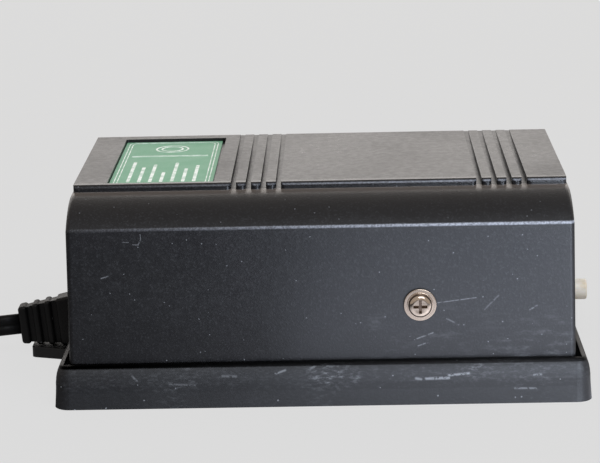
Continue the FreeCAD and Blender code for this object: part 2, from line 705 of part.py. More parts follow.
def build_tray():
    body = new_body("rubber_tray")
    levels = [("0", "tray_flare")]
    for share in (0, 0.3, 0.5, 0.66, 0.79, 0.88, 0.94, 0.98, 1):
        levels.append(("tray_band + %s * (tray_height - tray_band)" % share,
                       "-tray_neck * (1 - (1 - %s ^ tray_round) ^ (1 / tray_round))" % share))
    outlines = []
    for i, (z, out) in enumerate(levels):
        half_x, half_y = "(tray_half_x + %s)" % out, "(tray_half_y + %s)" % out
        outline = new_sketch(body, "tray_outline_%d" % i, "XY_Plane", "-" + half_x, "-" + half_y, z)
        soft_rectangle(outline, "2 * " + half_x, "2 * " + half_y, "tray_corner + %s" % out)
        outlines.append(outline)
    skin = body.newObject("PartDesign::AdditiveLoft", "tray_skin")
    skin.Profile = outlines[0]
    skin.Sections = outlines[1:]
    skin.Ruled = True
    side = new_sketch(body, "tab_side", "XZ_Plane", "-tab_tip", "0", "-tab_root_width / 2")
    polygon(side, [("0", "0"), ("tab_reach + 2", "0"), ("tab_reach + 2", "tab_root_thick"),
                   ("tab_reach", "tab_root_thick"), ("0", "tab_tip_thick")])
    pad(body, side, "tab_root_width")
    narrowing = "(tab_root_width - tab_tip_width) / 2"
    lean = "%s / tab_reach" % narrowing
    for name, sign in (("front", -1), ("back", 1)):
        # a thin triangle beside the tab, from its full width at the tray to its tip
        trim = new_sketch(body, "tab_trim_" + name, "XY_Plane", "-tab_tip - 1",
                          "-tab_root_width / 2 - 1" if sign < 0 else "tab_tip_width / 2 - " + lean)
        if sign < 0:
            polygon(trim, [("0", "0"), ("tab_reach + 1", "0"), ("tab_reach + 1", "1"),
                           ("0", "1 + %s + %s" % (narrowing, lean))])
        else:
            polygon(trim, [("0", "0"), ("tab_reach + 1", "%s + %s" % (narrowing, lean)),
                           ("tab_reach + 1", "%s + 2" % narrowing),
                           ("0", "%s + 2" % narrowing)])
        pocket(body, trim, "tab_tip_thick + 1", back=True)
    tip, wall = -size("tab_tip"), size("tray_half_x")
    round_edges(body, "tab_corners", "tab_corner",
                lambda e: runs(e, 2) and level(e, 0, tip, 0.4))
    round_edges(body, "tab_rim", "tab_edge",
                lambda e: e.BoundBox.XMin < tip + 5 and e.BoundBox.XMax < -wall + 0.1
                and not runs(e, 2) and e.BoundBox.ZMin > 1 and not runs(e, 1)
                or e.BoundBox.XMax < tip + 1 and e.BoundBox.ZMin > 1)
    fit = "(case_length + 2 * tray_fit)"
    fit_y = "(case_depth + 2 * tray_fit)"
    well = new_sketch(body, "tray_well", "XY_Plane", "-%s / 2" % fit, "-%s / 2" % fit_y,
                      "tray_height")
    rectangle(well, fit, fit_y)
    pocket(body, well, "tray_height - tray_floor")
    flare = "(rim_gap - tray_fit)"
    mouth = new_sketch(body, "tray_mouth", "XY_Plane", "-%s / 2 - %s" % (fit, flare),
                       "-%s / 2 - %s" % (fit_y, flare), "tray_height")
    rectangle(mouth, "%s + 2 * %s" % (fit, flare), "%s + 2 * %s" % (fit_y, flare))
    pocket(body, mouth, "rim_gap_depth", lean="atan(%s / rim_gap_depth) / 1 deg" % flare)
    notch = new_sketch(body, "tray_lead_notch", "XY_Plane", "-tray_half_x - 1", "-tray_notch",
                       "tray_height")
    rectangle(notch, "tray_overhang + case_wall + 1", "2 * tray_notch")
    pocket(body, notch, "tray_height - tray_floor")
    ways = new_sketch(body, "screw_ways", "XY_Plane", "-post_x", "-post_y")
    four(ways, "case_screw_head + 1", "2 * post_x", "2 * post_y")
    pocket(body, ways, "tray_floor", back=True)
    return body


# Bottom plate, screws, label

def build_bottom_plate():
    length, width = "(case_length - 2 * plate_inset)", "(case_depth - 2 * plate_inset)"
    body = slab("bottom_plate", length, width, "plate_thick", "-%s / 2" % length,
                "-%s / 2" % width, "tray_floor", "case_edge")
    for name, x, y, radius, across, deep in (
            ("post", "-post_x", "-post_y", "case_screw_radius + hole_gap",
             "2 * post_x", "2 * post_y"),
            ("rivet", "-core_x - foot_screw_reach", "-foot_screw_y", "foot_screw_radius",
             "2 * foot_screw_reach", "2 * foot_screw_y"),
            ("spacer", "board_x + board_hole_edge", "board_y + board_hole_edge",
             "board_screw_radius", "board_length - 2 * board_hole_edge",
             "board_depth - 2 * board_hole_edge")):
        holes = new_sketch(body, name + "_holes", "XY_Plane", x, y, "plate_top")
        four(holes, radius, across, deep)
        pocket(body, holes, "plate_thick")


def cross(name, x, y, z, along):
    """A cross recess that starts at x, y, z and runs the positive way along an axis."""
    arms = []
    for arm, (wide, tall) in (("a", ("cross_length", "cross_width")),
                              ("b", ("cross_width", "cross_length"))):
        if along == "Z":
            arms.append(centred(name + arm, wide, tall, "cross_depth + 0.5", x, y, z + " - 0.5"))
        else:
            arms.append(block(name + arm, wide, "cross_depth + 0.5", tall,
                              "%s - (%s) / 2" % (x, wide), y + " - 0.5",
                              "%s - (%s) / 2" % (z, tall)))
    return join(name, *arms)


def build_case_screws():
    screws = []
    for i, (sx, sy) in enumerate((("-", "-"), ("", "-"), ("-", ""), ("", ""))):
        x, y = sx + "post_x", sy + "post_y"
        low = "tray_floor - case_screw_head_thick"
        head = rod("case_head_%d" % i, "case_screw_head", "case_screw_head_thick", x, y, low)
        bottom = size(low)
        soft = rounded("case_head_soft_%d" % i, head, "case_screw_head_thick / 2",
                       lambda e: level(e, 2, bottom))
        shank = rod("case_shank_%d" % i, "case_screw_radius",
                    "case_screw_length + case_screw_head_thick / 2", x, y,
                    "tray_floor - case_screw_head_thick / 2")
        whole = join("case_screw_blank_%d" % i, soft, shank)
        screws.append(cut("case_screw_%d" % i, whole, cross("case_cross_%d" % i, x, y, low, "Z")))
    piece(group("case_screw_set", *screws), "case_screws")


def build_side_screw():
    disc = rod("washer_disc", "washer_radius", "washer_thick", "side_screw_x", "-washer_face",
               "side_screw_z", "Y")
    collar = rod("washer_middle", "washer_collar", "washer_step + washer_thick / 2",
                 "side_screw_x", "-screw_seat", "side_screw_z", "Y")
    fronts = -size("washer_face"), -size("screw_seat")
    whole = join("washer_whole", disc, collar)
    soft = rounded("washer_soft", whole, "washer_step / 2",
                   lambda e: level(e, 1, fronts[0]) and e.BoundBox.ZLength > size("washer_collar * 2.2")
                   or level(e, 1, fronts[1]))
    bore = rod("washer_bore", "side_screw_radius + hole_gap", "washer_thick + 3", "side_screw_x",
               "-screw_seat - 1", "side_screw_z", "Y")
    piece(cut("washer", soft, bore), "side_washer")
    face = "-screw_seat - side_head_thick"
    head = rod("pan_head", "side_head_radius", "side_head_thick", "side_screw_x", face,
               "side_screw_z", "Y")
    tip = size(face)
    pan = rounded("pan_head_soft", head, "side_head_thick * 0.85", lambda e: level(e, 1, tip))
    shank = rod("side_shank", "side_screw_radius", "side_screw_length + side_head_thick / 2",
                "side_screw_x", "-screw_seat - side_head_thick / 2", "side_screw_z", "Y")
    whole = join("side_screw_blank", pan, shank)
    piece(cut("side_screw_cut", whole,
              cross("side_cross", "side_screw_x", face, "side_screw_z", "Y")), "side_screw")


def build_label():
    slab("label_plate", "recess_width - label_gap - label_margin",
         "recess_length - 2 * label_gap",
         "label_thick", "label_gap - recess_x", "label_gap - recess_y", "recess_floor",
         "label_gap * 2")


# Heat sink and rectifier behind the side screw

def build_heat_sink():
    body = new_body("heat_sink")
    side = new_sketch(body, "sink_side", "YZ_Plane", "-seat_y", "plate_top",
                      "side_screw_x - sink_width / 2")
    polygon(side, [("0", "0"), ("sink_thick + sink_foot", "0"),
                   ("sink_thick + sink_foot", "sink_thick"), ("sink_thick", "sink_thick"),
                   ("sink_thick", "sink_height"), ("0", "sink_height")])
    pad(body, side, "sink_width")
    top = size("plate_top + sink_height")
    round_edges(body, "sink_corners", "sink_thick", lambda e: runs(e, 1) and level(e, 2, top))
    hole = new_sketch(body, "sink_hole", "XZ_Plane", "side_screw_x", "side_screw_z",
                      "sink_back - 1")
    ring(hole, "side_screw_radius + hole_gap")
    pocket(body, hole, "sink_thick + 4", back=True)


def build_rectifier():
    half = "bridge_size / 2"
    shape = block("bridge_block", "bridge_size", "bridge_thick", "bridge_size",
                  "side_screw_x - " + half, "-sink_back", "side_screw_z - " + half)
    soft = rounded("bridge_soft", shape, "hole_gap * 6", lambda e: runs(e, 1))
    hole = rod("bridge_hole", "side_screw_radius + hole_gap", "bridge_thick + 2",
               "side_screw_x", "-sink_back - 1", "side_screw_z", "Y")
    piece(cut("bridge", soft, hole), "bridge_rectifier")
    tags = [centred("tag_%d" % i, "blade_thick" if i else "blade_width", "bridge_tab_reach",
                    "blade_width" if i else "blade_thick",
                    "side_screw_x %s bridge_tag_off" % sx,
                    "-bridge_back + bridge_tab_reach / 2",
                    "side_screw_z %s bridge_tag_off - %s / 2"
                    % (sz, "blade_width" if i else "blade_thick"))
            for i, (sx, sz) in enumerate((("+", "+"), ("-", "+"), ("+", "-"), ("-", "-")))]
    piece(group("tags", *tags), "rectifier_tags")
    nut = hexagon("nut_blank", "nut_across", "nut_thick", "side_screw_x", "-bridge_back",
                  "side_screw_z", "Y")
    bore = rod("nut_bore", "side_screw_radius + 0.03", "nut_thick + 2", "side_screw_x",
               "-bridge_back - 1", "side_screw_z", "Y")
    piece(cut("nut", nut, bore), "rectifier_nut")


# Transformer: laminated core, bobbin, two windings, strap and rivets

def build_transformer():
    body = new_body("transformer_core")
    face = new_sketch(body, "core_face", "XZ_Plane", "-core_x - core_half", "plate_top",
                      "-core_stack / 2")
    rectangle(face, "core_unit * 6", "core_unit * 5")
    pad(body, face, "core_stack")
    for side, x in (("left", "-core_x - core_unit * 2"), ("right", "core_unit - core_x")):
        window = new_sketch(body, "window_" + side, "XZ_Plane", x, "window_bottom",
                            "-core_stack / 2")
        rectangle(window, "core_unit", "core_unit * 3")
        pocket(body, window, "core_stack", back=True)

    body = new_body("transformer_bobbin")
    tube = "bobbin_wall"
    levels = (("bobbin_bottom", tube), ("bobbin_middle - bobbin_wall / 2", tube),
              ("bobbin_top - bobbin_wall", tube))
    walls = new_sketch(body, "bobbin_tube", "XY_Plane",
                       "-core_x - bobbin_inner_x - bobbin_wall",
                       "-bobbin_inner_y - bobbin_wall", "bobbin_bottom")
    rectangle(walls, "2 * (bobbin_inner_x + bobbin_wall)", "2 * (bobbin_inner_y + bobbin_wall)")
    pad(body, walls, "bobbin_top - bobbin_bottom")
    for i, (z, thick) in enumerate(levels):
        flange = new_sketch(body, "bobbin_flange_%d" % i, "XY_Plane",
                            "-core_x - bobbin_flange_x", "-bobbin_flange_y", z)
        rectangle(flange, "2 * bobbin_flange_x", "2 * bobbin_flange_y")
        pad(body, flange, thick)
    bore = new_sketch(body, "bobbin_bore", "XY_Plane", "-core_x - bobbin_inner_x",
                      "-bobbin_inner_y", "bobbin_top")
    rectangle(bore, "2 * bobbin_inner_x", "2 * bobbin_inner_y")
    pocket(body, bore, "bobbin_top - bobbin_bottom")

    half_x, half_y = "(bobbin_flange_x - winding_gap)", "(bobbin_flange_y - winding_gap)"
    for label, low, high in (
            ("primary_winding", "bobbin_bottom + bobbin_wall",
             "bobbin_middle - bobbin_wall / 2"),
            ("secondary_winding", "bobbin_middle + bobbin_wall / 2",
             "bobbin_top - bobbin_wall")):
        height = "(%s) - (%s)" % (high, low)
        body = slab(label, "2 * " + half_x, "2 * " + half_y, height, "-core_x - " + half_x,
                    "-" + half_y, low, "winding_corner")
        hollow = new_sketch(body, label + "_hollow", "XY_Plane",
                            "-core_x - bobbin_inner_x - bobbin_wall",
                            "-bobbin_inner_y - bobbin_wall", high)
        rectangle(hollow, "2 * (bobbin_inner_x + bobbin_wall)",
                  "2 * (bobbin_inner_y + bobbin_wall)")
        pocket(body, hollow, height)


def build_strap():
    body = new_body("transformer_strap")
    hoop = new_sketch(body, "strap_hoop", "XZ_Plane", "-core_x - strap_outer - strap_foot",
                      "plate_top", "-strap_width / 2")
    foot, thick = "strap_foot", "strap_thick"
    across, inner = "2 * strap_outer + strap_foot", "strap_foot + strap_thick"
    far, tall = "strap_foot + 2 * strap_outer - strap_thick", "core_top - plate_top"
    end = "2 * strap_foot + 2 * strap_outer"
    polygon(hoop, [("0", "0"), (inner, "0"), (inner, tall), (far, tall), (far, "0"), (end, "0"),
                   (end, thick), (across, thick), (across, tall + " + strap_thick"),
                   (foot, tall + " + strap_thick"), (foot, thick), ("0", thick)])
    pad(body, hoop, "strap_width")
    top = size("core_top + strap_thick")
    round_edges(body, "strap_bends", "strap_thick", lambda e: runs(e, 1) and level(e, 2, top))
    holes = new_sketch(body, "strap_holes", "XY_Plane", "-core_x - foot_screw_reach",
                       "-foot_screw_y", "foot_top")
    four(holes, "foot_screw_radius", "2 * foot_screw_reach", "2 * foot_screw_y")
    pocket(body, holes, "strap_thick")
    rivets = []
    for i, (sx, sy) in enumerate((("-", "-"), ("+", "-"), ("-", "+"), ("+", "+"))):
        x, y = "%sfoot_screw_reach - core_x" % sx, "%sfoot_screw_y" % sy
        x, y = x.lstrip("+"), y.lstrip("+")
        head = rod("rivet_head_%d" % i, "foot_head_radius", "foot_head_thick / 2", x, y, "foot_top")
        high = size("foot_top + foot_head_thick / 2")
        dome = rounded("rivet_dome_%d" % i, head, "foot_head_thick / 3",
                       lambda e: level(e, 2, high))
        shank = rod("rivet_shank_%d" % i, "foot_screw_radius - 0.02",
                    "foot_top - tray_floor + foot_head_thick / 4", x, y, "tray_floor")
        rivets.append(join("rivet_%d" % i, dome, shank))
    piece(group("rivets", *rivets), "strap_rivets")


# Circuit board and what stands on it

def board_corner(i):
    """The place of one of the board's four holes."""
    x = "board_x + board_hole_edge" if i % 2 else "board_x + board_length - board_hole_edge"
    y = "board_y + board_hole_edge" if i < 2 else "board_y + board_depth - board_hole_edge"
    return x, y


def build_board():
    body = slab("circuit_board", "board_length", "board_depth", "board_thick", "board_x",
                "board_y", "board_bottom", "board_screw_radius")
    holes = new_sketch(body, "board_holes", "XY_Plane", "board_x + board_hole_edge",
                       "board_y + board_hole_edge", "board_top")
    four(holes, "board_screw_radius + hole_gap", "board_length - 2 * board_hole_edge",
         "board_depth - 2 * board_hole_edge")
    pocket(body, holes, "board_thick")
    spacers, screws = [], []
    for i in range(4):
        x, y = board_corner(i)
        hexagonal = hexagon("spacer_%d" % i, "standoff_across", "standoff_height", x, y,
                            "plate_top")
        spigot = rod("spigot_%d" % i, "board_screw_radius - 0.02", "plate_thick + 1", x, y,
                     "tray_floor")
        thread = rod("thread_%d" % i, "board_screw_radius + 0.03", "board_screw_length", x, y,
                     "board_bottom + 1 - board_screw_length")
        spacers.append(cut("spacer_bored_%d" % i, join("spacer_whole_%d" % i, hexagonal, spigot),
                           thread))
        head = rod("board_head_%d" % i, "board_head_radius", "board_head_thick", x, y,
                   "board_top")
        high = size("board_top + board_head_thick")
        soft = rounded("board_head_soft_%d" % i, head, "board_head_thick / 2",
                       lambda e: level(e, 2, high))
        shank = rod("board_shank_%d" % i, "board_screw_radius", "board_screw_length + 0.5", x, y,
                    "board_top - board_screw_length")
        screws.append(join("board_screw_%d" % i, soft, shank))
    piece(group("spacers", *spacers), "board_spacers")
    piece(group("board_screw_set", *screws), "board_screws")

    can = rod("can", "capacitor_radius", "capacitor_height", "board_x + capacitor_x",
              "board_y + board_depth / 2", "board_top")
    piece(rounded("can_soft", can, "board_screw_radius / 2", lambda e: True),
          "smoothing_capacitor")

    start, fuse_y = "(board_x + fuse_x)", "(board_y + fuse_y)"
    fuse_z = "(board_top + fuse_lift)"
    glass = rod("fuse_tube", "fuse_radius - fuse_wall", "fuse_length - 1", start + " + 0.5", fuse_y,
                fuse_z, "X")
    caps, clips = [], []
    for i, x in enumerate((start, start + " + fuse_length - clip_width")):
        cap = rod("fuse_cap_%d" % i, "fuse_radius", "clip_width", x, fuse_y, fuse_z, "X")
        inner = rod("fuse_cap_inside_%d" % i, "fuse_radius - fuse_wall", "clip_width",
                    x + (" + 0.5" if i == 0 else " - 0.5"), fuse_y, fuse_z, "X")
        caps.append(cut("fuse_cap_hollow_%d" % i, cap, inner))
        clip = centred("clip_%d" % i, "clip_width - 1", "2 * fuse_radius + 2",
                       "fuse_lift + fuse_radius / 2", x + " + clip_width / 2", fuse_y,
                       "board_top")
        way = rod("clip_way_%d" % i, "fuse_radius + 0.03", "clip_width + 2", x + " - 1", fuse_y,
                  fuse_z, "X")
        clips.append(cut("clip_cut_%d" % i, clip, way))
    piece(glass, "fuse_glass")
    piece(group("fuse_caps_set", *caps), "fuse_caps")
    piece(group("clips", *clips), "fuse_clips")

    terminal = block("terminal", "terminal_length", "terminal_depth", "terminal_height",
                     "board_x + terminal_x", "board_y + terminal_y", "board_top")
    wells = []
    for i in range(3):
        x = "board_x + terminal_x + terminal_length * %s / 6" % (1 + 2 * i)
        wells.append(rod("terminal_well_%d" % i, "board_screw_radius", "terminal_height / 2", x,
                         "board_y + terminal_y + terminal_depth / 2", "board_top + terminal_height / 2"))
        wells.append(rod("terminal_mouth_%d" % i, "board_screw_radius", "terminal_depth / 2",
                         x, "board_y + terminal_y + terminal_depth / 2 + 0.5",
                         "board_top + terminal_height / 3", "Y"))
    piece(cut("terminal_cut", terminal, *wells), "terminal_block")


# Thermal breaker with its reset button

def build_breaker():
    half = "breaker_width / 2"
    low = "button_z - breaker_height / 2"
    shell = block("breaker_block", "breaker_front - breaker_back", "breaker_width",
                  "breaker_height", "breaker_back", "-" + half, low)
    soft = rounded("breaker_soft", shell, "breaker_wall / 2", lambda e: runs(e, 0))
    neck = rod("breaker_neck", "neck_radius", "neck_out - breaker_front + 1",
               "breaker_front - 1", "0", "button_z", "X")
    chamber = rod("breaker_chamber", "chamber_radius", "chamber_front - breaker_back + 1",
                  "breaker_back - 1", "0", "button_z", "X")
    bore = rod("breaker_bore", "button_radius + button_gap", "neck_out - chamber_front + 2",
               "chamber_front - 1", "0", "button_z", "X")
    piece(cut("breaker", join("breaker_whole", soft, neck), chamber, bore), "breaker_body")
    cap = block("breaker_cap_block", "breaker_cap_thick", "breaker_width", "breaker_height",
                "breaker_back - breaker_cap_thick", "-" + half, low)
    piece(rounded("breaker_cap_soft", cap, "breaker_wall / 2", lambda e: runs(e, 0)),
          "breaker_cap")
    piece(rod("disc", "disc_radius", "disc_thick", "breaker_back", "0", "button_z", "X"),
          "bimetal_disc")
    blades = [centred("breaker_blade_%s" % side, "bridge_tab_reach - 1", "blade_thick",
                      "blade_width",
                      "breaker_back - breaker_cap_thick - (bridge_tab_reach - 1) / 2",
                      sign + "breaker_width / 4", "button_z - blade_width / 2")
              for side, sign in (("front", "-"), ("back", ""))]
    piece(group("breaker_blades", *blades), "breaker_terminals")
    ring_blank = rod("ring_nut_blank", "ring_nut_radius", "ring_nut_thick", "button_wall", "0",
                     "button_z", "X")
    ring_bore = rod("ring_nut_bore", "neck_radius + 0.03", "ring_nut_thick + 2",
                    "button_wall - 1", "0", "button_z", "X")
    piece(cut("ring_nut_cut", ring_blank, ring_bore), "ring_nut")


def build_button():
    body = new_body("reset_button")
    post = "disc_front + button_reach + button_travel"
    profile = new_sketch(body, "button_profile", "XZ_Plane", "0", "button_z")
    polygon(profile, [(post, "0"), ("button_out", "0"), ("button_out", "button_radius"),
                      ("flange_front", "button_radius"), ("flange_front", "button_flange"),
                      ("flange_back", "button_flange"), ("flange_back", "button_post"),
                      (post, "button_post")])
    spin(body, profile, "H_Axis")
    tip = size("button_out")
    round_edges(body, "button_rim", "button_rest_gap * 10",
                lambda e: level(e, 0, tip) and e.BoundBox.ZLength > 1)


def build_gland():
    body = new_body("outlet_gland")
    profile = new_sketch(body, "gland_profile", "XY_Plane", "gland_x", "0", "gland_z")
    thick = "gland_flange_thick"
    polygon(profile, [("gland_bore", "gland_inner - " + thick),
                      ("gland_flange - 0.5", "gland_inner - " + thick),
                      ("gland_flange - 0.5", "gland_inner"), ("gland_neck", "gland_inner"),
                      ("gland_neck", "gland_wall"), ("gland_flange", "gland_wall"),
                      ("gland_flange", "gland_wall + " + thick),
                      ("gland_bore", "gland_wall + " + thick)])
    spin(body, profile, "V_Axis")


# Strain relief: a drooping taper with ribs, through the slot in the case

def relief_taper(name, start, end, insets=("0", "0")):
    """The relief's tapered block between two distances from the wall, before it droops."""
    wedge = doc.addObject("Part::Wedge", name)
    wedge.Placement = Placement(Vector(), Rotation(Vector(0, 0, 1), 90))
    wedge.setExpression("Ymin", named(start))
    wedge.setExpression("Ymax", named(end))
    for mark, where in (("", start), ("2", end)):
        for axis, what, inset in (("X", "thick", insets[0]), ("Z", "height", insets[1])):
            half = ("((relief_root_%s - (relief_root_%s - relief_nose_%s) * (%s) / relief_length)"
                    " / 2 - %s)" % (what, what, what, where, inset))
            wedge.setExpression("%s%smin" % (axis, mark), named("-" + half))
            wedge.setExpression("%s%smax" % (axis, mark), named(half))
    return wedge


def build_relief():
    core = relief_taper("relief_core", "-3", "relief_length - 1",
                        ("relief_groove_depth", "relief_groove_step"))
    ends = [("relief_length - relief_nose_rib", "relief_length")]
    for i in range(2):
        back = "relief_length - relief_nose_rib - %d * (relief_groove + relief_rib)" % (i + 1)
        ends.append((back, back + " + relief_rib"))
    ends.append(("-3", "relief_length - relief_nose_rib - 2 * relief_rib - 3 * relief_groove"))
    ribs = [core]
    for i, (start, end) in enumerate(ends):
        rib = relief_taper("relief_rib_%d" % i, start, end)
        ribs.append(rounded("relief_rib_soft_%d" % i, rib, "relief_round", lambda e: True))
    hood = join("relief_outside", *ribs)
    hood.Placement = Placement(Vector(), Rotation(Vector(0, 1, 0), -size("relief_droop")))
    move(hood, "-relief_wall", "0", "relief_z")
    inside = block("relief_wall_side", "10", "20", "30", "-relief_wall", "-10", "relief_z - 15")
    trimmed = cut("relief_trimmed", hood, inside)
    neck = block("relief_neck", "relief_wall - relief_inside + 1.5", "2 * relief_neck_half",
                 "slot_top - plate_top", "-relief_wall - 1", "-relief_neck_half", "plate_top")
    flange = block("relief_flange_block", "relief_flange", "2 * relief_neck_half + 4",
                   "slot_top - plate_top + 2", "-relief_inside", "-relief_neck_half - 2",
                   "plate_top")
    piece(join("relief", trimmed, neck, flange), "strain_relief")


# Leads and wires: straight runs joined by tangent arcs, and a coil of biarcs

def bend(start, corner, end):
    """The arc that leaves start towards the corner and reaches end from it."""
    middle = (start + end) * 0.5
    out = corner - middle
    chord = (end - start).Length
    if out.Length < 1e-6:
        return Part.LineSegment(start, end).toShape()
    turn = math.atan2(out.Length, chord / 2)
    rise = chord / 2 * math.tan(turn / 2)
    return Part.Arc(start, middle + out.normalize() * rise, end).toShape()


def route(name, points):
    """A path along points, each corner rounded as far as its two runs allow."""
    edges, at, radii = [], points[0], []
    for before, corner, after in zip(points, points[1:], points[2:]):
        one, two = before - corner, after - corner
        reach = 0.45 * min(one.Length, two.Length)
        half = (math.pi - one.getAngle(two)) / 2
        radii.append(reach / math.tan(half))
        start = corner + one.normalize() * reach
        end = corner + two.normalize() * reach
        edges += [Part.LineSegment(at, start).toShape(), bend(start, corner, end)]
        at = end
    edges.append(Part.LineSegment(at, points[-1]).toShape())
    print("%s bends at radii of %s mm" % (name, ", ".join("%.0f" % r for r in radii)))
    return Part.Wire(edges)


def round_section(at, ahead, radius):
    return Part.Wire([Part.Circle(at, ahead, radius).toShape()])


def flat_section(at, ahead, up):
    """The flat lead's outline: two flat sides and two round edges."""
    half = (size("lead_width") - size("lead_thick")) / 2
    radius = size("lead_thick") / 2
    side = ahead.cross(up).normalize()
    corners = [at + up * (half * v) + side * (radius * h)
               for v, h in ((-1, 1), (1, 1), (1, -1), (-1, -1))]
    top, bottom = at + up * (half + radius), at - up * (half + radius)
    return Part.Wire([Part.LineSegment(corners[0], corners[1]).toShape(),
                      Part.Arc(corners[1], top, corners[2]).toShape(),
                      Part.LineSegment(corners[2], corners[3]).toShape(),
                      Part.Arc(corners[3], bottom, corners[0]).toShape()])


def tube(name, path, section):
    """The section swept along the path, with its volume checked."""
    solid = path.makePipeShell([section], True, False)
    expected = Part.Face(section).Area * path.Length
    if abs(solid.Volume / expected - 1) > 0.01:
        raise SystemExit("%s has a volume of %.0f, not %.0f" % (name, solid.Volume, expected))
    print("%s is %.0f mm long" % (name, path.Length))
    return solid


def feature(label, shape):
    obj = doc.addObject("Part::Feature", label + "_shape")
    obj.Shape = shape
    return piece(obj, label)


def at(x, y, z):
    """The point at three expressions."""
    return Vector(size(x), size(y), size(z))


def lead_points():
    """From the strain relief down to the start of the coil."""
    down = "tan(relief_droop * 1 deg)"
    return [at("-nose_x", "0", "nose_z"), at("-nose_x - 20", "0", "nose_z - 20 * " + down),
            at("18 - coil_x", "0", "coil_low"), at("-coil_x", "0", "coil_low")]


def plug_lead_points():
    """From the coil's upper layer down to the plug."""
    return [at("-coil_x", "0", "coil_high"), at("-coil_x - 14", "0", "coil_high"),
            at("-coil_x - 30", "0", "plug_height / 2"), at("-plug_x", "0", "plug_height / 2")]


def coil_point(turn):
    """The coil's centre line after so many turns: in below, up, and out on top."""
    middle = size("coil_turns") / 2
    blend = 0.08
    away = math.sqrt((turn - middle) ** 2 + blend ** 2)
    radius = size("coil_inner") + size("coil_pitch") * away
    start = size("coil_radius")
    rise = min(max((turn - middle) * 2 + 0.5, 0), 1)
    angle = -math.pi / 2 - 2 * math.pi * turn
    return Vector(-size("coil_x") + radius * math.cos(angle), start + radius * math.sin(angle),
                  size("coil_low") + size("coil_step") * rise * rise * (3 - 2 * rise))


def coil_path():
    """Two arcs to each quarter turn, through points of the coil's centre line."""
    turns = int(size("coil_turns"))
    edges, step = [], 1e-4
    marks = [i / 4 for i in range(4 * turns + 1)]
    spots = [coil_point(t) for t in marks]
    ways = [(coil_point(t + step) - coil_point(t - step)).normalize() for t in marks]
    west = Vector(-1, 0, 0)
    spots[0], ways[0] = at("-coil_x", "0", "coil_low"), west
    spots[-1], ways[-1] = at("-coil_x", "0", "coil_high"), west
    for p, q, a, b in zip(spots, spots[1:], ways, ways[1:]):
        v, t = q - p, a + b
        square, linear = 2 * (1 - a.dot(b)), 2 * v.dot(t)
        d = (-linear + math.sqrt(linear ** 2 + 4 * square * v.dot(v))) / (2 * square)
        near, far = p + a * d, q - b * d
        middle = (near + far) * 0.5
        edges += [bend(p, near, middle), bend(middle, far, q)]
    return Part.Wire(edges)


def coil_gap(path):
    """The least gap between the coil's turns, measured on points."""
    points = path.discretize(Number=1200)
    apart = int(1200 / size("coil_turns") / 2)
    least = 99.0
    flat = size("lead_width") - size("lead_thick")
    for i, p in enumerate(points):
        for q in points[i + apart:]:
            across = math.hypot(p.x - q.x, p.y - q.y)
            high = max(abs(p.z - q.z) - flat, 0)
            least = min(least, math.hypot(across, high) - size("lead_thick"))
    return least


def build_leads():
    up = Vector(0, 0, 1)
    points = lead_points()
    ahead = (points[1] - points[0]).normalize()
    square_up = (up - ahead * ahead.dot(up)).normalize()
    feature("mains_lead", tube("mains_lead", route("mains_lead", points),
                               flat_section(points[0], ahead, square_up)))
    path = coil_path()
    west = Vector(-1, 0, 0)
    feature("lead_coil", tube("lead_coil", path,
                              flat_section(at("-coil_x", "0", "coil_low"), west, up)))
    print("the coil's least gap to itself is %.2f mm" % coil_gap(path))
    points = plug_lead_points()
    feature("plug_lead", tube("plug_lead", route("plug_lead", points),
                              flat_section(points[0], west, up)))
    band = "(tie_far - tie_near)"
    outer = block("tie_outer", band + " + 2 * tie_thick", "tie_width",
                  "tie_top - tie_bottom + 2 * tie_thick", "-coil_x - tie_far - tie_thick",
                  "coil_radius - tie_width / 2", "tie_bottom - tie_thick")
    outer_soft = rounded("tie_outer_soft", outer, "tie_thick * 3", lambda e: runs(e, 1))
    inner = block("tie_inner", band, "tie_width + 2", "tie_top - tie_bottom",
                  "-coil_x - tie_far", "coil_radius - tie_width / 2 - 1", "tie_bottom")
    piece(cut("tie", outer_soft, rounded("tie_inner_soft", inner, "tie_thick * 2",
                                         lambda e: runs(e, 1))), "lead_tie")


def build_plug():
    wedge = doc.addObject("Part::Wedge", "plug_taper")
    wedge.Placement = Placement(Vector(), Rotation(Vector(0, 0, 1), 90))
    wedge.Ymin = 0
    wedge.setExpression("Ymax", named("plug_length - plug_block"))
    for mark, wide, tall in (("", "plug_neck_width", "plug_neck_height"),
                             ("2", "plug_width", "plug_height")):
        for axis, whole in (("X", wide), ("Z", tall)):
            wedge.setExpression("%s%smin" % (axis, mark), named("-%s / 2" % whole))
            wedge.setExpression("%s%smax" % (axis, mark), named("%s / 2" % whole))
    move(wedge, "-plug_x", "0", "plug_height / 2")
    head = block("plug_head", "plug_block", "plug_width", "plug_height",
                 "-plug_x - plug_length", "-plug_width / 2", "0")
    whole = join("plug_whole", wedge, head)
    neck = -size("plug_x")
    piece(rounded("plug_soft", whole, "plug_round", lambda e: not level(e, 0, neck)), "plug")
    blades = [block("plug_blade_%s" % side, "plug_blade_length", "plug_blade_thick",
                    "blade_width", "-plug_x - plug_length - plug_blade_length",
                    "%splug_blade_apart / 2 - plug_blade_thick / 2" % sign,
                    "plug_height / 2 - blade_width / 2")
              for side, sign in (("front", "-"), ("back", ""))]
    piece(group("plug_blade_pair", *blades), "plug_blades")


def wire(name, *points):
    """One round wire inside the case."""
    spots = [at(*point) for point in points]
    ahead = spots[1] - spots[0]
    return tube(name, route(name, spots), round_section(spots[0], ahead, size("wire_radius")))


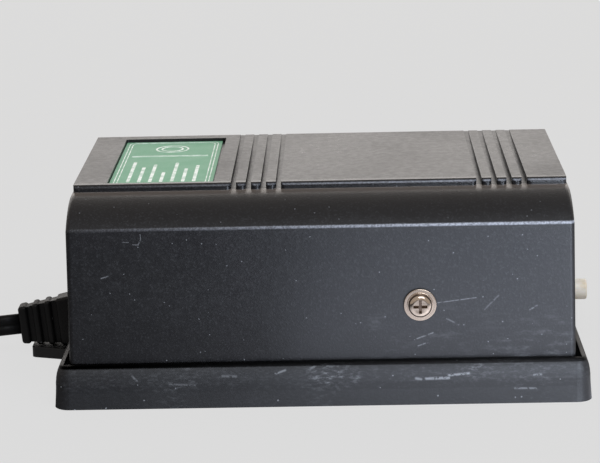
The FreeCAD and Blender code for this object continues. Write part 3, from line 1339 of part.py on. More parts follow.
def build_wires():
    inner = "relief_flange - relief_inside"
    mains = []
    for sign in ("-", ""):
        beside = sign + "(core_stack / 2 + 1.6)"
        mains.append(wire("mains_wire", (inner, sign + "1.7", "relief_z"),
                          (inner + " + 6", sign + "1.7", "relief_z"),
                          (inner + " + 12", sign + "14", "relief_z + 6"),
                          ("-winding_left - 14", beside, "relief_z + 10.5"),
                          ("-winding_left", beside, "relief_z + 10.5")))
    feature("mains_wires", Part.makeCompound(mains))
    tag_left, tag_right = "side_screw_x - bridge_tag_off", "side_screw_x + bridge_tag_off"
    tag_high, tag_low = "side_screw_z + bridge_tag_off", "side_screw_z - bridge_tag_off"
    front, back = "-core_stack / 2 - 1.6", "core_stack / 2 + 1.6"
    blades = "breaker_back - breaker_cap_thick - bridge_tab_reach + 1"
    feature("secondary_wires", Part.makeCompound([
        wire("secondary_wire", ("winding_right", front, "37.5"), ("9", front, "37.5"),
             (tag_left, front + " - 0.9", tag_high), (tag_left, "-tag_y", tag_high)),
        wire("protector_wire", ("winding_right", back, "35"), ("9", back, "35"),
             ("16", "12", "27"), ("26", "breaker_width / 4", "button_z"),
             (blades, "breaker_width / 4", "button_z")),
        wire("reset_wire", (blades, "-breaker_width / 4", "button_z"),
             ("27", "-breaker_width / 4", "button_z"), (tag_left, "-13", tag_low),
             (tag_left, "-tag_y", tag_low))]))
    feature("rectified_wires", Part.makeCompound([
        wire("plus_wire", (tag_right, "-tag_y", tag_high), (tag_right, "-12", tag_high),
             ("40.5", "6", "34"), ("41", "15", "26"), ("41", "15", "board_top")),
        wire("minus_wire", (tag_right, "-tag_y", tag_low), (tag_right, "-20", tag_low),
             ("32", "-6", "23"), ("33", "8", "25"), ("33.5", "15", "21.5"),
             ("33.5", "15", "board_top"))]))


def build_spring():
    """The button's spring, one tube round the post."""
    low = size("disc_front + spring_wire + 0.02")
    high = size("flange_back - spring_wire - 0.02")
    turns = int(size("spring_turns"))
    coil = Part.makeHelix((high - low) / turns, high - low, size("spring_radius"))
    wire_section = round_section(Vector(size("spring_radius"), 0, 0), Vector(0, 1, 0),
                                 size("spring_wire"))
    solid = Part.Wire(coil.Edges).makePipeShell([wire_section], True, True)
    obj = feature("button_spring", solid)
    obj.Placement = Placement(Vector(low, 0, size("button_z")), TURN["X"])


for build in (build_case, build_tray, build_bottom_plate, build_case_screws, build_side_screw,
              build_label, build_heat_sink, build_rectifier, build_transformer, build_strap,
              build_board, build_breaker, build_button, build_gland, build_relief, build_leads,
              build_plug, build_wires, build_spring):
    build()
doc.recompute()

os.makedirs("parts", exist_ok=True)
for obj in doc.Objects:
    if "Invalid" in obj.State or "Error" in obj.State:
        raise SystemExit("%s failed: %s" % (obj.Label, obj.State))
for obj in PIECES:
    shape = obj.Shape
    if shape.isNull() or not shape.isValid():
        raise SystemExit("%s has no valid shape" % obj.Label)
    print("%-24s %2d solids %10.1f mm3" % (obj.Label, len(shape.Solids), shape.Volume))
    shape.exportStep("parts/%s.step" % obj.Label)
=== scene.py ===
import math
import bpy
import numpy as np
from mathutils import Matrix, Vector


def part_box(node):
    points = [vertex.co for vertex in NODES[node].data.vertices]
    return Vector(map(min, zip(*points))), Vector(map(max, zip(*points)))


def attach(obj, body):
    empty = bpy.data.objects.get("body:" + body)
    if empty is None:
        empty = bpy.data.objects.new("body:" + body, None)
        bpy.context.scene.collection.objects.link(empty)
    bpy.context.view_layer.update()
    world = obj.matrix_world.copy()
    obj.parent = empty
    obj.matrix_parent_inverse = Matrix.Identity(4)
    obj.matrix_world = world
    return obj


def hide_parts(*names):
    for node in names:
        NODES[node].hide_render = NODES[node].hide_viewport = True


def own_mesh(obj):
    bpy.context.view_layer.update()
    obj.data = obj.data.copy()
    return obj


bl_info = {
    "name": "Battery charger",
    "version": (1, 0, 0),
    "blender": (4, 5, 0),
    "location": "View3D > Sidebar > Charger",
    "description": "Dresses the packed model of a mains battery charger and sets up its picture",
    "category": "Object",
}

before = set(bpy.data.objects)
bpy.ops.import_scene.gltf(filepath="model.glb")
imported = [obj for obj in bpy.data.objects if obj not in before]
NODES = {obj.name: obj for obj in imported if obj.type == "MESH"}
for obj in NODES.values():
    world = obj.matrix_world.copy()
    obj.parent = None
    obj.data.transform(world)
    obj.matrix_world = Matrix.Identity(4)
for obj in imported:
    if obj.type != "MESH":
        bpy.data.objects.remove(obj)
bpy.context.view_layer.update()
MM = 0.001


def span(node):
    """A node's low and high corners at rest, as arrays."""
    low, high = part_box(node)
    return np.array(low, float), np.array(high, float)


CASE_LOW, CASE_HIGH = span("case_cover")
LABEL_LOW, LABEL_HIGH = span("label_plate")


# Sizes and colours that a user would change

class ChargerSizes(bpy.types.PropertyGroup):
    camera_lens: bpy.props.FloatProperty(
        name="Lens", description="Focal length for a 36 mm wide sensor", default=135.52)
    lead_width: bpy.props.FloatProperty(
        name="Lead width", description="Flat mains lead, the wide way", default=6.8 * MM,
        subtype="DISTANCE")
    lead_thick: bpy.props.FloatProperty(
        name="Lead thickness", description="Flat mains lead, the thin way", default=3.4 * MM,
        subtype="DISTANCE")
    lead_groove: bpy.props.FloatProperty(
        name="Lead groove", description="Depth of the groove between the lead's two cores",
        default=0.6 * MM, subtype="DISTANCE")
    coil_radius: bpy.props.FloatProperty(
        name="Coil radius", description="Outermost turn of the stored lead", default=40 * MM,
        subtype="DISTANCE")
    coil_pitch: bpy.props.FloatProperty(
        name="Coil pitch", description="From one turn of the coil to the next",
        default=4.2 * MM, subtype="DISTANCE")
    coil_turns: bpy.props.IntProperty(
        name="Coil turns", description="Turns in all, in below and out on top", default=7)
    coil_low: bpy.props.FloatProperty(
        name="Lower layer", description="Middle of the coil's lower layer above the floor",
        default=4.4 * MM, subtype="DISTANCE")
    coil_step: bpy.props.FloatProperty(
        name="Layer step", description="From the coil's lower layer to its upper one",
        default=7.4 * MM, subtype="DISTANCE")
    ink_lift: bpy.props.FloatProperty(
        name="Ink", description="Thickness of the label's print", default=0.04 * MM,
        subtype="DISTANCE")
    ink_line: bpy.props.FloatProperty(
        name="Ink line", description="Width of the label's thin lines", default=0.45 * MM,
        subtype="DISTANCE")


def colour(name, description, value):
    return bpy.props.FloatVectorProperty(
        name=name, description=description, default=value, size=3, subtype="COLOR", min=0,
        max=1)


class ChargerColours(bpy.types.PropertyGroup):
    case: colour("Case", "Black moulded case", (0.006, 0.0058, 0.0062))
    # Pale colour of the creases and the panel's front edges: partly rubbing, partly painted
    # highlight
    rub_and_highlight: colour("Worn", "Crease of the case where it is rubbed pale", (0.5, 0.52, 0.58))
    dust: colour("Dust", "Dust and pale scuffs", (0.2, 0.205, 0.215))
    # Warm pale colour of the painted reflection along the foot of the raised panel
    foot_sheen: colour("Foot dust", "Warm dust at the foot of the raised panel",
                  (0.11, 0.093, 0.08))
    tray: colour("Tray", "Rubber tray", (0.006, 0.006, 0.0065))
    label: colour("Label", "Label's printed ground", (0.16, 0.375, 0.235))
    ink: colour("Ink", "Label's pale print", (0.85, 0.92, 0.86))
    button: colour("Button", "Cream reset button", (0.9, 0.86, 0.77))
    nickel: colour("Nickel", "Plated screw and washer", (0.6, 0.5, 0.41))
    lead: colour("Lead", "Lead, plug and strain relief", (0.004, 0.004, 0.0042))
    floor: colour("Floor", "Floor", (0.722, 0.722, 0.722))
    sky: colour("Surroundings", "What stands round the floor", (0.5, 0.455, 0.42))


def sizes():
    return bpy.context.scene.charger_sizes


def colours():
    return bpy.context.scene.charger_colours


# Node helpers

def add(tree, kind, values=(), **settings):
    """One node: its settings by name, its inputs as numbers, colours or other nodes' outputs."""
    made = tree.nodes.new("ShaderNode" + kind)
    for name, value in settings.items():
        setattr(made, name, value)
    for name, value in dict(values).items():
        give(tree, made.inputs[name], value)
    return made


def give(tree, socket, value):
    """Link an input to another node's output, or set its plain value."""
    if isinstance(value, bpy.types.NodeSocket):
        tree.links.new(value, socket)
    else:
        socket.default_value = value


def reckon(tree, operation, *values, clamp=False):
    """The output of a Math node, or of a chain of them where there are more than two values."""
    made = values[0]
    for value in values[1:] or (0.0,):
        made = add(tree, "Math", {0: made, 1: value}, operation=operation,
                   use_clamp=clamp).outputs[0]
    return made


def between(tree, value, low, high, start=0.0, end=1.0, smooth=True):
    """Value carried from low..high to start..end, and held there beyond."""
    return add(tree, "MapRange", {"Value": value, "From Min": low, "From Max": high,
                                  "To Min": start, "To Max": end},
               interpolation_type="SMOOTHSTEP" if smooth else "LINEAR").outputs["Result"]


def close_to(tree, value, middle, band):
    """1 where a value is nearer to the middle than the band's first size, 0 beyond its second."""
    off = reckon(tree, "ABSOLUTE", reckon(tree, "SUBTRACT", value, middle))
    return between(tree, off, *band, 1.0, 0.0)


def blend(tree, share, first, second):
    """Two colours mixed by a share. The Mix node's colours are inputs 6 and 7, output 2."""
    return add(tree, "Mix", {0: share, 6: first, 7: second}, data_type="RGBA").outputs[2]


def opaque(rgb):
    """A colour with full alpha."""
    return (rgb[0], rgb[1], rgb[2], 1.0)


def noise(tree, place, scale, detail=3.0, rough=0.55):
    """A noise texture's value, around a half."""
    return add(tree, "TexNoise", {"Vector": place, "Scale": scale, "Detail": detail,
                                  "Roughness": rough}).outputs["Fac"]


def vectors(tree, operation, first, second=(0.0, 0.0, 0.0)):
    """The outputs of a Vector Math node."""
    return add(tree, "VectorMath", {0: first, 1: second}, operation=operation).outputs


def by_axis(tree, place):
    """A place's X, Y and Z."""
    return add(tree, "SeparateXYZ", {0: place}).outputs


# Effects that several materials share

FLOAT, VECTOR = "NodeSocketFloat", "NodeSocketVector"


def new_group(name, inputs, outputs):
    """An empty node group with named sockets."""
    tree = bpy.data.node_groups.new(name, "ShaderNodeTree")
    for socket, kind in inputs:
        tree.interface.new_socket(socket, in_out="INPUT", socket_type=kind)
    for socket, kind in outputs:
        tree.interface.new_socket(socket, in_out="OUTPUT", socket_type=kind)
    start = tree.nodes.new("NodeGroupInput")
    end = tree.nodes.new("NodeGroupOutput")
    return tree, start.outputs, end.inputs


def grain_group():
    """Moulded or cast skin at two sizes: fine noise, and broad noise of few waves."""
    tree, given, result = new_group(
        "Skin grain", [("Place", VECTOR), ("Scale", FLOAT), ("Waves", FLOAT)],
        [("Fine", FLOAT), ("Broad", FLOAT)])
    tree.links.new(noise(tree, given["Place"], given["Scale"], 4.0, 0.6), result["Fine"])
    tree.links.new(noise(tree, given["Place"], given["Waves"], 2.0, 0.5), result["Broad"])
    return tree


def specks_group():
    """Dust specks: small cells of which a few are kept, by each cell's own random value."""
    tree, given, result = new_group(
        "Dust specks", [("Place", VECTOR), ("Scale", FLOAT), ("Size", FLOAT), ("Share", FLOAT)],
        [("Mask", FLOAT)])
    cells = add(tree, "TexVoronoi", {"Vector": given["Place"], "Scale": given["Scale"],
                                     "Randomness": 1.0})
    inside = reckon(tree, "LESS_THAN", cells.outputs["Distance"], given["Size"])
    chance = add(tree, "SeparateColor", {"Color": cells.outputs["Color"]}).outputs[0]
    kept = reckon(tree, "LESS_THAN", chance, given["Share"])
    tree.links.new(reckon(tree, "MULTIPLY", inside, kept), result["Mask"])
    return tree


def scuffs_group():
    """Rubbed patches: broad noise lets stretched fine noise through."""
    tree, given, result = new_group(
        "Scuffs", [("Place", VECTOR), ("Patches", FLOAT), ("Streaks", FLOAT),
                   ("Amount", FLOAT)], [("Mask", FLOAT)])
    where = between(tree, noise(tree, given["Place"], given["Patches"], 3.0, 0.6), 0.5, 0.72)
    stretched = vectors(tree, "MULTIPLY", given["Place"], (0.35, 1.0, 1.0))[0]
    streaks = between(tree, noise(tree, stretched, given["Streaks"], 4.0, 0.7), 0.48, 0.74)
    tree.links.new(reckon(tree, "MULTIPLY", where, streaks, given["Amount"], clamp=True),
                   result["Mask"])
    return tree


def hair_line_group():
    """A thin line from one point to another: 1 on the line between them, 0 beyond its width,
    and broken up by noise."""
    tree, given, result = new_group(
        "Hair line", [("Place", VECTOR), ("Start", VECTOR), ("End", VECTOR), ("Width", FLOAT)],
        [("Mask", FLOAT)])
    off = vectors(tree, "SUBTRACT", given["Place"], given["Start"])[0]
    whole = vectors(tree, "SUBTRACT", given["End"], given["Start"])[0]
    share = reckon(tree, "DIVIDE", vectors(tree, "DOT_PRODUCT", off, whole)["Value"],
                   vectors(tree, "DOT_PRODUCT", whole, whole)["Value"], clamp=True)
    shares = add(tree, "CombineXYZ", {0: share, 1: share, 2: share}).outputs[0]
    reached = vectors(tree, "MULTIPLY", whole, shares)[0]
    away = vectors(tree, "LENGTH", vectors(tree, "SUBTRACT", off, reached)[0])["Value"]
    line = between(tree, away, 0.0, given["Width"], 1.0, 0.0)
    broken = between(tree, noise(tree, given["Place"], 900.0, 2.0), 0.36, 0.5)
    tree.links.new(reckon(tree, "MULTIPLY", line, broken), result["Mask"])
    return tree


# What makes each shared group, and the groups that are made already
MAKERS = {"grain": grain_group, "specks": specks_group, "scuffs": scuffs_group,
          "hair line": hair_line_group}
GROUPS = {}


def effect(tree, name, **values):
    """One of the shared groups placed in a material."""
    if name not in GROUPS:
        GROUPS[name] = MAKERS[name]()
    made = tree.nodes.new("ShaderNodeGroup")
    made.node_tree = GROUPS[name]
    for socket, value in values.items():
        give(tree, made.inputs[socket], value)
    return made.outputs


def new_material(name, **shader):
    """A material with its shader's plain values set, and the place on the object."""
    made = bpy.data.materials.new(name)
    made.use_nodes = True
    tree = made.node_tree
    surface = next(n for n in tree.nodes if n.type == "BSDF_PRINCIPLED")
    for socket, value in shader.items():
        surface.inputs[socket.replace("_", " ")].default_value = value
    place = add(tree, "TexCoord").outputs["Object"]
    return made, tree, surface, place


def feed(tree, surface, **sockets):
    """Link outputs to the shader's inputs, named with underscores."""
    for socket, value in sockets.items():
        tree.links.new(value, surface.inputs[socket.replace("_", " ")])


def bump(tree, height, distance):
    """The normal of a skin that is one distance high where the height is 1."""
    return add(tree, "Bump", {"Height": height, "Distance": distance}).outputs["Normal"]


# Materials

# Marks on the front, hair lines on the case and rubs on the tray, in millimetres along X and Z:
# each line's two ends, width and strength
HAIR_LINES = (
    ((35, 30.3), (46.5, 31.7), 0.28, 0.36),
    ((37.7, 25.3), (41.2, 23.4), 0.4, 0.26),
    ((28, 19), (33.5, 21), 0.36, 0.41),
    ((29, 17), (32.5, 18.2), 0.32, 0.36),
    ((49, 28), (53.2, 32.2), 0.4, 0.20),
    ((62.6, 27.7), (64.7, 28.9), 0.4, 0.31),
    ((-53.5, 52.9), (-53.4, 51.4), 0.24, 0.36),
    ((-53.4, 51.4), (-54.2, 49.7), 0.24, 0.36),
    ((-54.2, 49.7), (-55.8, 49.8), 0.24, 0.31),
    ((-58.9, 50.6), (-57.1, 50.5), 0.24, 0.26),
    ((-65.7, 39.6), (-63.7, 40.2), 0.32, 0.41),
)
RUBS = (
    ((31.2, 8.0), (38, 8.1), 0.7, 0.65),
    ((38, 8.9), (44, 9.4), 0.6, 0.65),
    ((28.2, 8.1), (29.6, 7.8), 0.7, 0.52),
    ((57.8, 4.6), (64.1, 4.5), 0.5, 0.39),
    ((63.5, 8.6), (65.6, 8.7), 0.6, 0.45),
    ((-14, 10.2), (-11, 11.2), 0.5, 0.45),
    ((-57.2, 10.2), (-55.8, 8.6), 0.5, 0.33),
    ((-45.9, 7.5), (-38.4, 7.1), 0.5, 0.23),
    ((-30, 9.8), (-26, 9.6), 0.7, 0.23),
)
FRONT_MARKS_END = -50 * MM

# Where each mark's edge starts and ends. Drops are down from the case's top, the rise is up
# from the crease, bands are out from their line, sides out from the middle of the case, the
# depth back from its front, and along is along X. The rest are heights above the floor.
CREASE_DROP = 9.97 * MM
CREASE_BAND = (0.1 * MM, 0.62 * MM)
CREASE_SIDES = (48 * MM, 49 * MM)
BROW_DROP = 0.62 * MM
BROW_BAND = (0.1 * MM, 0.45 * MM)
BROW_SIDES = (36.2 * MM, 36.5 * MM)
# Along X the painted highlight on the creases and panel edges grows from the first place to the
# second
HIGHLIGHT_ALONG = (-90 * MM, 70 * MM)
# Where the painted reflection along the panel's foot starts and ends
FOOT_DROP = (2.05 * MM, 2.15 * MM)
FOOT_DROP_END = (4 * MM, 5 * MM)
FOOT_SIDES = (35 * MM, 36 * MM)
FOOT_SIDES_END = (38 * MM, 43 * MM)
NOSE_RISE = (8.3 * MM, 8.8 * MM)
NOSE_DEPTH = (20 * MM, 22 * MM)
SCUFFED_HEIGHTS = (14 * MM, 34 * MM)
# Heights where the painted shade in the joints starts and ends; it is black and metallic, so it
# reflects nothing
CASE_JOINT = (12.7 * MM, 13.3 * MM)
TRAY_JOINT = (12 * MM, 12.5 * MM)
JOINT_ALONG = (-80 * MM, 80 * MM)
TRAY_SLOPE = (4.5 * MM, 8 * MM)
# Colour of the painted shade in the joints
JOINT_SHADE_BLACK = (0.0, 0.0, 0.0, 1.0)


def lined(tree, axes, marks, lines):
    """The marks with each line of a list laid over them, on the front alone."""
    behind = reckon(tree, "GREATER_THAN", axes["Y"], FRONT_MARKS_END)
    front = add(tree, "CombineXYZ", {0: axes["X"], 1: behind, 2: axes["Z"]}).outputs[0]
    for start, end, width, strength in lines:
        line = effect(tree, "hair line", Place=front, Start=(start[0] * MM, 0.0, start[1] * MM),
                      End=(end[0] * MM, 0.0, end[1] * MM), Width=width * MM)["Mask"]
        marks = reckon(tree, "MAXIMUM", marks, reckon(tree, "MULTIPLY", line, strength))
    return marks


def case_rub_and_highlight(tree, place, axes):
    """The two long creases, and how far they and the long edges of the raised panel are made
    pale:
    partly rubbed pale, partly a painted highlight, which is stronger to the right."""
    side = reckon(tree, "ABSOLUTE", axes["Y"])
    top = CASE_HIGH[2]
    crease = reckon(tree, "MULTIPLY", close_to(tree, axes["Z"], top - CREASE_DROP, CREASE_BAND),
                    between(tree, side, *CREASE_SIDES))
    brow = reckon(tree, "MULTIPLY", close_to(tree, axes["Z"], top - BROW_DROP, BROW_BAND),
                  between(tree, side, *BROW_SIDES, 0.0, 0.5))
    chafed = between(tree, noise(tree, place, 1500.0, 3.0, 0.6), 0.38, 0.6, 0.5, 1.0)
    highlight_rightward = between(tree, axes["X"], *HIGHLIGHT_ALONG, 0.01, 0.42)
    edges = reckon(tree, "MAXIMUM", crease, brow)
    return crease, reckon(tree, "MULTIPLY", edges, chafed, highlight_rightward)


def foot_reflection(tree, axes):
    """Painted reflection on the shoulders, along the foot of the raised panel."""
    side = reckon(tree, "ABSOLUTE", axes["Y"])
    drop = reckon(tree, "SUBTRACT", CASE_HIGH[2], axes["Z"])
    return reckon(tree, "MULTIPLY", between(tree, side, *FOOT_SIDES_END, 1.0, 0.0),
                  between(tree, side, *FOOT_SIDES), between(tree, drop, *FOOT_DROP),
                  between(tree, drop, *FOOT_DROP_END, 1.0, 0.0))


def case_plastic():
    """Satin black moulding: finer above the crease than below it, a crease partly rubbed pale and
    partly a painted highlight, the same on the raised panel's front edges, painted reflection
    along the foot of the raised panel, specks, a few hair lines, a scuffed lower wall, and
    painted shade in the joint with the tray."""
    made, tree, surface, place = new_material("case plastic", IOR=1.36)
    axes = by_axis(tree, place)
    grain = effect(tree, "grain", Place=place, Scale=1500.0, Waves=24.0)
    specks = effect(tree, "specks", Place=place, Scale=680.0, Size=0.13, Share=0.09)["Mask"]
    scuffs = effect(tree, "scuffs", Place=place, Patches=20.0, Streaks=420.0,
                    Amount=0.22)["Mask"]
    low = between(tree, axes["Z"], *SCUFFED_HEIGHTS, 1.0, 0.12)
    marks = reckon(tree, "MAXIMUM", reckon(tree, "MULTIPLY", scuffs, low),
                   reckon(tree, "MULTIPLY", specks, 0.42),
                   between(tree, grain["Fine"], 0.5, 0.72, 0.0, 0.045))
    marks = lined(tree, axes, marks, HAIR_LINES)
    crease, rub_and_highlight = case_rub_and_highlight(tree, place, axes)
    # Painted shade in the joint with the tray: black, metallic so it reflects nothing, and weaker
    # to the right
    darkening = reckon(tree, "MULTIPLY", between(tree, axes["Z"], *CASE_JOINT, 1.0, 0.0),
                  between(tree, axes["X"], *JOINT_ALONG, 1.0, 0.6))
    tint = blend(tree, marks, opaque(colours().case), opaque(colours().dust))
    # Painted reflection along the foot of the raised panel
    tint = blend(tree, foot_reflection(tree, axes), tint, opaque(colours().foot_sheen))
    # Creases and the panel's front edges made pale: partly rubbing, partly painted highlight,
    # stronger to the right
    tint = blend(tree, rub_and_highlight, tint, opaque(colours().rub_and_highlight))
    tint = blend(tree, darkening, tint, JOINT_SHADE_BLACK)
    above = reckon(tree, "SUBTRACT", axes["Z"], CASE_HIGH[2] - CREASE_DROP)
    front = [CASE_LOW[1] + depth for depth in NOSE_DEPTH]
    noses = reckon(tree, "MULTIPLY", between(tree, above, *NOSE_RISE),
                   between(tree, axes["Y"], *front, 1.0, 0.0))
    mottle = noise(tree, place, 420.0, 3.0, 0.7)
    rough = reckon(tree, "ADD", between(tree, above, 0.0, 2 * MM, 0.37, 0.33),
                   reckon(tree, "MULTIPLY", crease, -0.1),
                   reckon(tree, "MULTIPLY", noses, -0.1),
                   between(tree, grain["Broad"], 0.3, 0.7, -0.03, 0.03),
                   between(tree, mottle, 0.35, 0.65, -0.03, 0.03),
                   reckon(tree, "MULTIPLY", marks, 0.25))
    skin = reckon(tree, "ADD", reckon(tree, "MULTIPLY", grain["Fine"], 0.11),
                  reckon(tree, "MULTIPLY", grain["Broad"], 0.35))
    feed(tree, surface, Base_Color=tint, Metallic=darkening, Roughness=rough,
         Normal=bump(tree, skin, 0.4 * MM))
    return made


def tray_rubber():
    """Matt rubber with fine level streaks, pale rubs on its slope, flecks of dust, and painted
    shade along its rim, in the joint with the case."""
    made, tree, surface, place = new_material("tray rubber", IOR=1.38)
    axes = by_axis(tree, place)
    grain = effect(tree, "grain", Place=place, Scale=1300.0, Waves=60.0)
    level = vectors(tree, "MULTIPLY", place, (0.4, 1.0, 1.0))[0]
    streaks = between(tree, noise(tree, level, 1500.0, 4.0, 0.7), 0.45, 0.75, 0.0, 0.08)
    scuffs = effect(tree, "scuffs", Place=place, Patches=55.0, Streaks=1100.0,
                    Amount=0.45)["Mask"]
    specks = effect(tree, "specks", Place=place, Scale=520.0, Size=0.14, Share=0.1)["Mask"]
    slope = between(tree, axes["Z"], *TRAY_SLOPE, 0.35, 1.0)
    marks = reckon(tree, "MULTIPLY", reckon(tree, "ADD", scuffs, streaks), slope)
    marks = reckon(tree, "MAXIMUM", marks, reckon(tree, "MULTIPLY", specks, 0.5))
    marks = lined(tree, axes, marks, RUBS)
    # Painted shade along the rim, in the joint with the case: black and metallic so it reflects
    # nothing, weaker to the right
    darkening = reckon(tree, "MULTIPLY", between(tree, axes["Z"], *TRAY_JOINT),
                  between(tree, axes["X"], *JOINT_ALONG, 1.0, 0.7))
    tint = blend(tree, marks, opaque(colours().tray), opaque(colours().dust))
    tint = blend(tree, darkening, tint, JOINT_SHADE_BLACK)
    skin = reckon(tree, "ADD", reckon(tree, "MULTIPLY", grain["Fine"], 0.1),
                  reckon(tree, "MULTIPLY", grain["Broad"], 0.2))
    rough = between(tree, grain["Broad"], 0.3, 0.7, 0.46, 0.54)
    feed(tree, surface, Base_Color=tint, Metallic=darkening, Roughness=rough,
         Normal=bump(tree, skin, 0.4 * MM))
    return made


def soft_plastic(name, base, gloss=(0.38, 0.5), dusty=0.1, shine=0.3):
    """Flexible dark moulding, as on the lead, the plug and the strain relief."""
    made, tree, surface, place = new_material(name, Specular_IOR_Level=shine)
    grain = effect(tree, "grain", Place=place, Scale=1300.0, Waves=90.0)
    specks = effect(tree, "specks", Place=place, Scale=500.0, Size=0.2, Share=dusty)["Mask"]
    tint = blend(tree, reckon(tree, "MULTIPLY", specks, 0.4), opaque(base),
                 opaque(colours().dust))
    rough = between(tree, grain["Broad"], 0.3, 0.7, *gloss)
    feed(tree, surface, Base_Color=tint, Roughness=rough,
         Normal=bump(tree, grain["Fine"], 0.03 * MM))
    return made


def label_ground():
    """Satin printed sheet with a slight mottle in its ink."""
    made, tree, surface, place = new_material("label ground", Specular_IOR_Level=0.3)
    grain = effect(tree, "grain", Place=place, Scale=2400.0, Waves=160.0)
    paler = [min(1.0, c * 1.22 + 0.03) for c in colours().label]
    share = between(tree, grain["Fine"], 0.3, 0.75, 0.0, 0.5)
    tint = blend(tree, share, opaque(colours().label), opaque(paler))
    rough = between(tree, grain["Broad"], 0.3, 0.7, 0.5, 0.58)
    feed(tree, surface, Base_Color=tint, Roughness=rough,
         Normal=bump(tree, grain["Fine"], 0.01 * MM))
    return made


def label_ink():
    """Pale print that is a little uneven."""
    made, tree, surface, place = new_material("label ink", Specular_IOR_Level=0.3)
    grain = effect(tree, "grain", Place=place, Scale=2000.0, Waves=300.0)
    thin = [(a + b) / 2 for a, b in zip(colours().ink, colours().label)]
    tint = blend(tree, between(tree, grain["Broad"], 0.35, 0.6), opaque(thin),
                 opaque(colours().ink))
    rough = between(tree, grain["Fine"], 0.3, 0.7, 0.4, 0.5)
    feed(tree, surface, Base_Color=tint, Roughness=rough)
    return made


def metal(name, base, gloss=(0.22, 0.36), streaks=(1.0, 1.0, 1.0), fine=900.0, tarnish=0.15):
    """Bare or plated metal: streaked grain, and a thin darker tarnish in patches."""
    made, tree, surface, place = new_material(name, Metallic=1.0)
    stretched = vectors(tree, "MULTIPLY", place, streaks)[0]
    grain = effect(tree, "grain", Place=stretched, Scale=fine, Waves=220.0)
    dark = [c * 0.55 for c in base]
    patches = between(tree, grain["Broad"], 0.5, 0.75, 0.0, tarnish)
    tint = blend(tree, patches, opaque(base), opaque(dark))
    rough = between(tree, grain["Fine"], 0.25, 0.75, *gloss)
    feed(tree, surface, Base_Color=tint, Roughness=rough,
         Normal=bump(tree, grain["Fine"], 0.008 * MM))
    return made


# The screw's darkening: where it starts and ends down in the recess, out from the recess's middle
#  and at the head's edge, where it is painted shade, and its colour, also that of its tarnish
RECESS_DEPTH = (0.25 * MM, 0.6 * MM)
RECESS_REACH = (2.1 * MM, 2.4 * MM)
HEAD_EDGE = (3.2 * MM, 3.5 * MM)
SCREW_TARNISH_AND_SHADE = (0.12, 0.08, 0.06, 1.0)


def screw_plate():
    """Nickel plate on the side screw: bright on its crown, darker brown deep in the cross recess,
    painted shade round the head's edge, and brown tarnish in patches."""
    made, tree, surface, place = new_material("screw plate", Metallic=1.0)
    low, high = span("side_screw")
    middle = ((low[0] + high[0]) / 2, 0.0, (low[2] + high[2]) / 2)
    off = vectors(tree, "SUBTRACT", place, middle)[0]
    flat = vectors(tree, "MULTIPLY", off, (1.0, 0.0, 1.0))[0]
    away = vectors(tree, "LENGTH", flat)["Value"]
    depth = reckon(tree, "SUBTRACT", by_axis(tree, place)["Y"], low[1])
    recess = reckon(tree, "MULTIPLY", between(tree, depth, *RECESS_DEPTH),
                    between(tree, away, *RECESS_REACH, 1.0, 0.0), 0.8)
    grain = effect(tree, "grain", Place=place, Scale=2600.0, Waves=420.0)
    # Darker deep in the recess, painted shade round the head's edge, and tarnish in patches
    darkening = reckon(tree, "MAXIMUM", recess, between(tree, away, *HEAD_EDGE, 0.0, 0.75),
                  between(tree, grain["Broad"], 0.45, 0.7, 0.0, 0.4))
    tint = blend(tree, darkening, opaque(colours().nickel), SCREW_TARNISH_AND_SHADE)
    rough = between(tree, grain["Fine"], 0.25, 0.75, 0.12, 0.24)
    feed(tree, surface, Base_Color=tint, Roughness=rough,
         Normal=bump(tree, grain["Broad"], 0.05 * MM))
    return made


def hard_plastic(name, base, gloss=(0.3, 0.42)):
    """Plain rigid moulding with a slight mottle."""
    made, tree, surface, place = new_material(name, IOR=1.5)
    grain = effect(tree, "grain", Place=place, Scale=1600.0, Waves=130.0)
    other = [min(1.0, c * 1.25 + 0.01) for c in base]
    tint = blend(tree, between(tree, grain["Broad"], 0.35, 0.7, 0.0, 0.48), opaque(base),
                 opaque(other))
    rough = between(tree, grain["Fine"], 0.3, 0.7, *gloss)
    feed(tree, surface, Base_Color=tint, Roughness=rough,
         Normal=bump(tree, grain["Fine"], 0.012 * MM))
    return made


def button_cream():
    """Cream moulding, yellowed in patches."""
    made, tree, surface, place = new_material(
        "button cream", IOR=1.5, Subsurface_Weight=0.15,
        Subsurface_Radius=(1.2 * MM, 0.9 * MM, 0.6 * MM), Subsurface_Scale=1.0)
    grain = effect(tree, "grain", Place=place, Scale=1500.0, Waves=240.0)
    old = [c * f for c, f in zip(colours().button, (0.86, 0.8, 0.66))]
    tint = blend(tree, between(tree, grain["Broad"], 0.4, 0.7), opaque(colours().button),
                 opaque(old))
    rough = between(tree, grain["Fine"], 0.3, 0.7, 0.32, 0.42)
    feed(tree, surface, Base_Color=tint, Roughness=rough)
    return made


def waves(tree, value, length):
    """A sine wave of one length along a value."""
    return reckon(tree, "SINE", reckon(tree, "MULTIPLY", value, 2 * math.pi / length))


def wound_wire():
    """Varnished copper wire: fine level turns, darker in the grooves between them."""
    made, tree, surface, place = new_material("wound wire", Metallic=1.0, Coat_Weight=0.6)
    turn = waves(tree, by_axis(tree, place)["Z"], 0.45 * MM)
    tint = blend(tree, between(tree, turn, -1.0, 0.6), (0.12, 0.03, 0.012, 1.0),
                 (0.62, 0.26, 0.11, 1.0))
    rough = between(tree, noise(tree, place, 500.0), 0.3, 0.7, 0.25, 0.4)
    feed(tree, surface, Base_Color=tint, Roughness=rough, Normal=bump(tree, turn, 0.1 * MM))
    return made


